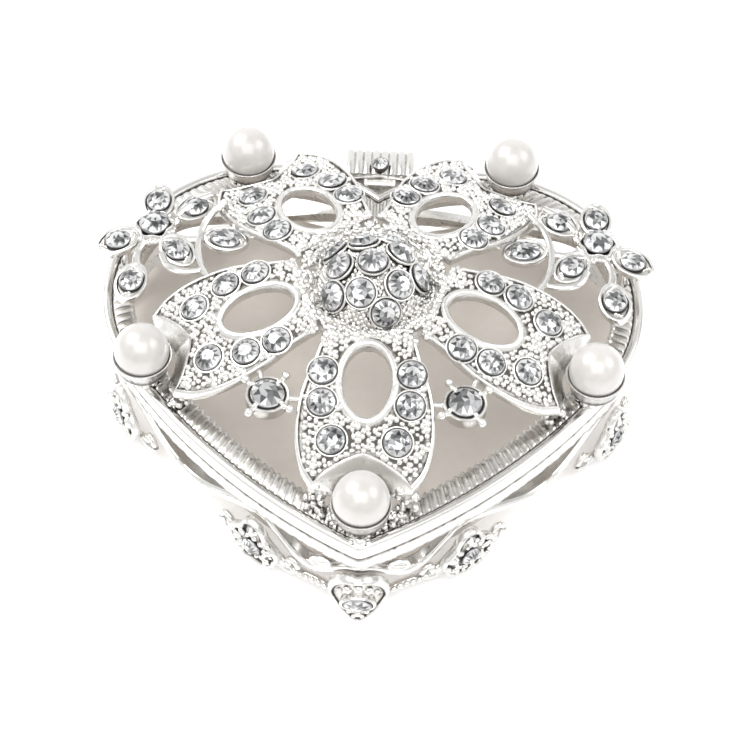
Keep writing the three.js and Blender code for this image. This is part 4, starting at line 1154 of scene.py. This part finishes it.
def build_shield():
    part = Part()

    def place(local):
        """Wraps the shield round the box's softened corner."""
        x, z, out = np.atleast_2d(local).T
        soft = np.sqrt(x**2 + 0.9**2) - 0.9 * 0.35
        y = FLANK[1] - np.sqrt((FLANK_R + out - 0.05) ** 2 - (np.minimum(soft, 8) - FLANK[0]) ** 2)
        return np.column_stack([x, y, z + SHIELD_LEVEL])

    verts, faces, pits = plate(shield_edge(), SHIELD_PROFILE, place, 0.15)
    verts[-2:] = place([[0, 0, 0.0], [0, 0, 1.07]])
    part.add(verts, outward(verts, faces), pits)
    for x, z, r in SHIELD_BEADS:
        add_bead(part, place([x, z, 1.05]), r, (x * 0.15, -1, 0), 0.5)
    part.make("shield_relief", "base", "front_shield", [SMOOTH], "silver")
    stone = Part()
    low = box_of("front_shield_stone")[0]
    origin = np.array([0, low[1] + 0.75, middle_of("front_shield_stone")[2] + 0.8])
    face = np.array([0, -1, 0.0])
    cup = [(0.6, -1.5), (1.45, -1.5), (1.62, -0.1), (1.5, 0.12), (1.36, 0.1), (1.2, -0.4), (0.5, -0.4)]
    verts, faces = lathe(cup, 36)
    stone.add(placed(verts * [SHIELD_STONE_LONG, 1, 1], origin, *axes_for(face)), faces, 0.1, 2)
    add_seat(stone, origin, face, SHIELD_STONE_R, 0.4, SHIELD_STONE_LONG)
    add_stone(stone, origin, face, SHIELD_STONE_R, 0.55, 0, SHIELD_STONE_LONG, turn=0.0)
    make_stone(stone, "shield_stone_cut", "base", "front_shield_stone", 25, [SMOOTH])


# ---------------------------------------------------------------- hinge
RIDGES = 8
KNUCKLE_HALF, KNUCKLE_R = 1.8, 1.2
HINGE_STONE_R = 1.1


def build_hinge():
    (left, front, _), (right, back, high) = box_of("hinge_lid_leaf")
    low = BAND_TOP + 0.3
    count = RIDGES * 8 + 1
    x = np.linspace(left, right, count)
    wave = np.abs(np.sin(np.pi * RIDGES * (x - left) / (right - left))) ** 0.6
    section = [  # y, z, and how far the ridges move each; over the top and down the back, then under
        (front + 0.05, low, 0.0, 0.0), (front, low + 0.5, 0.0, 0.0), (front + 0.15, high - 0.25, 0.0, 0.12),
        (front + 0.5, high - 0.3, 0.0, 0.3), (back - 0.6, high - 0.3, 0.0, 0.3),
        (back - 0.3, high - 0.45, -0.15, 0.2), (back - 0.28, low + 0.4, -0.25, 0.0),
        (back - 0.3, low, -0.2, 0.0), (back - 1.2, low, 0, 0), (front + 1.0, low, 0, 0),
    ]
    verts = np.concatenate([np.column_stack([x, y - a * wave, z + b * wave]) for y, z, a, b in section])
    total = len(section)
    faces = [
        (k * count + i, k * count + i + 1, n * count + i + 1, n * count + i)
        for k, n in zip(range(total), [*range(1, total), 0]) for i in range(count - 1)
    ]
    ends = np.arange(total) * count
    faces += [tuple(int(i) for i in ends), tuple(int(i) for i in ends[::-1] + count - 1)]
    part = Part()
    part.add(verts, outward(verts, faces), np.tile(0.35 * (1 - wave), total))
    _, pin_y, pin_z = middle_of("hinge_pin")
    _, ring = around(32)
    rings = []
    for end, r in zip((-1, -1, 1, 1), (0.12, 0, 0, 0.12)):
        at = end * (KNUCKLE_HALF - (r == 0) * 0.12)
        rings.append(np.column_stack([np.full(32, at), ring * (KNUCKLE_R - r) + [pin_y, pin_z]]))
    verts, faces = loft(rings)
    part.add(verts, outward(verts, faces), 0.1)
    corners = [(-KNUCKLE_HALF, -0.6), (KNUCKLE_HALF, -0.6), (KNUCKLE_HALF, 1.05), (-KNUCKLE_HALF, 1.05)]
    web = [[x, pin_y + y, z] for z in (pin_z + 0.4, low + 0.3) for x, y in corners]
    sides = [(i, (i + 1) % 4, (i + 1) % 4 + 4, i + 4) for i in range(4)]
    part.add(web, [(0, 3, 2, 1), (4, 5, 6, 7), *sides], 0.1)
    part.make("hinge_cover", "lid", "hinge_lid_leaf", [SMOOTH], "silver", 35)
    stone = Part()
    origin = np.array([*middle_of("hinge_stone")[:2], box_of("hinge_stone")[0][2] + 0.1])
    add_seat(stone, origin + [0, 0, 0.1], UP, HINGE_STONE_R, 0.35)
    add_stone(stone, origin, UP, HINGE_STONE_R, 0.8, hint=(0, 1, 0))
    make_stone(stone, "hinge_stone_cut", "lid", "hinge_stone")


def finish_cad(node, material, width):
    """Keeps a CAD node's own shape, with rounded edges and a real finish."""
    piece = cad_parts[node]
    piece.data.materials.clear()
    piece.data.materials.append(material)
    edge = piece.modifiers.new("edges", "BEVEL")
    edge.width = width / 1000
    edge.segments = 3
    edge.limit_method = "ANGLE"
    edge.angle_limit = math.radians(40)
    edge.use_clamp_overlap = True


# ---------------------------------------------------------------- studio and camera, in metres
AZIMUTH, ELEVATION, ROLL = math.radians(1.259), math.radians(54.421), math.radians(1.507)
DISTANCE, ASIDE, BELOW = 0.306, 0.000367, 0.009464
LENS, SENSOR = 114.49, 36  # mm
LIGHTS_AIM = (0, 0, 0.015)


def build_studio():
    """A pale paper floor that curves up behind the box."""
    wide, deep, high, corner = 1.6, 1.2, 1.2, 0.35
    path = [(-deep, 0.0), (deep - corner, 0.0)]
    for a in np.linspace(0.1, math.pi / 2, 14):
        path.append((deep - corner + corner * math.sin(a), corner - corner * math.cos(a)))
    path.append((deep, high))
    mesh = bpy.data.meshes.new("studio_floor")
    faces = [(2 * k, 2 * k + 1, 2 * k + 3, 2 * k + 2) for k in range(len(path) - 1)]
    mesh.from_pydata([(side * wide, y, z) for y, z in path for side in (-1, 1)], [], faces)
    mesh.update()
    mesh.shade_smooth()
    material, nodes, shader = new_material("paper")
    nodes.set(shader, {
        "Base Color": nodes.ramp(nodes.noise(9, 4.0), (0.3, (0.90, 0.90, 0.90)), (0.7, (0.92, 0.92, 0.92))),
        "Roughness": 0.9, "Specular IOR Level": 0.1,
        "Emission Color": (1, 1, 1, 1), "Emission Strength": 0.22,
    })
    mesh.materials.append(material)
    floor = bpy.data.objects.new("studio_floor", mesh)
    bpy.context.scene.collection.objects.link(floor)


def soft_light(name, place, size, power):
    data = bpy.data.lights.new(name, "AREA")
    data.shape = "RECTANGLE"
    data.size, data.size_y = size
    data.energy = power
    light = bpy.data.objects.new(name, data)
    light.location = place
    light.rotation_euler = (Vector(LIGHTS_AIM) - Vector(place)).to_track_quat("-Z", "Y").to_euler()
    bpy.context.scene.collection.objects.link(light)


def build_camera():
    """The camera, and the direction from the box back to it."""
    flat = math.cos(ELEVATION)
    back = Vector((math.sin(AZIMUTH) * flat, -math.cos(AZIMUTH) * flat, math.sin(ELEVATION)))
    right = Matrix.Rotation(ROLL, 3, back) @ Vector((math.cos(AZIMUTH), math.sin(AZIMUTH), 0))
    up = back.cross(right)
    aim = Vector((AXIS[0], AXIS[1], PEARLS["front"][2])) / 1000
    data = bpy.data.cameras.new("camera")
    data.lens, data.sensor_width = LENS, SENSOR
    data.clip_start, data.clip_end = 0.01, 10
    camera = bpy.data.objects.new("camera", data)
    axes = Matrix((right, up, back)).transposed().to_4x4()
    camera.matrix_world = Matrix.Translation(aim + right * ASIDE - up * BELOW + back * DISTANCE) @ axes
    bpy.context.scene.collection.objects.link(camera)
    bpy.context.scene.camera = camera
    return back


def build_world(back):
    """A white studio with a darker patch behind the camera, for the silver to reflect."""
    world = bpy.data.worlds.new("studio")
    bpy.context.scene.world = world
    world.use_nodes = True
    nodes = Nodes(world.node_tree)

    def grey(value):
        return value, value, value

    place = nodes.add("TexCoord", output="Generated")
    facing = nodes.add("VectorMath", {0: place, 1: back}, "Value", operation="DOT_PRODUCT")
    patch = nodes.ramp(
        facing, (0.0, grey(0.8)), (0.5, grey(1.0)), (0.88, grey(1.0)),
        (0.945, grey(0.6)), (1.0, (0.45, 0.45, 0.46)),
    )
    panels = nodes.add("TexNoise", {"Vector": place, "Scale": 1.9, "Detail": 1.0})
    tones = nodes.ramp(
        panels, (0.38, (0.58, 0.58, 0.59)), (0.46, (0.84, 0.84, 0.83)), (0.56, (1.0, 1.0, 0.99))
    )
    both = nodes.add("VectorMath", {0: patch, 1: tones}, operation="MULTIPLY")
    nodes.set(world.node_tree.nodes["Background"], {"Color": both, "Strength": 1.08})


to_camera = build_camera()
build_world(to_camera)
build_studio()
soft_light("key", (-0.39, 0.19, 0.55), (0.42, 0.42), 2.6)
soft_light("fill", (0.45, 0.05, 0.42), (0.4, 0.3), 0.8)
soft_light("front", to_camera * 0.5 + Vector((0, 0.05, 0.06)), (0.5, 0.4), 1.2)
bpy.context.scene.view_settings.view_transform = "Standard"

for petal_name in PETALS:
    build_petal(petal_name)
    build_pearl(petal_name)
build_cluster()
for hand_name, hand_side in HANDS.items():
    build_claw(hand_name)
    build_spray(hand_name)
    for fan_place, boss_length in zip(("front", "side", "rear"), BOSSES):
        build_fan(f"{fan_place}_{hand_name}", hand_side, boss_length)
build_lid_ring()
build_base_ring()
build_shield()
build_hinge()
finish_cad("floor_plate", SATIN, 0.2)
finish_cad("hinge_base_leaf", SMOOTH, 0.15)
finish_cad("hinge_pin", SMOOTH, 0.1)
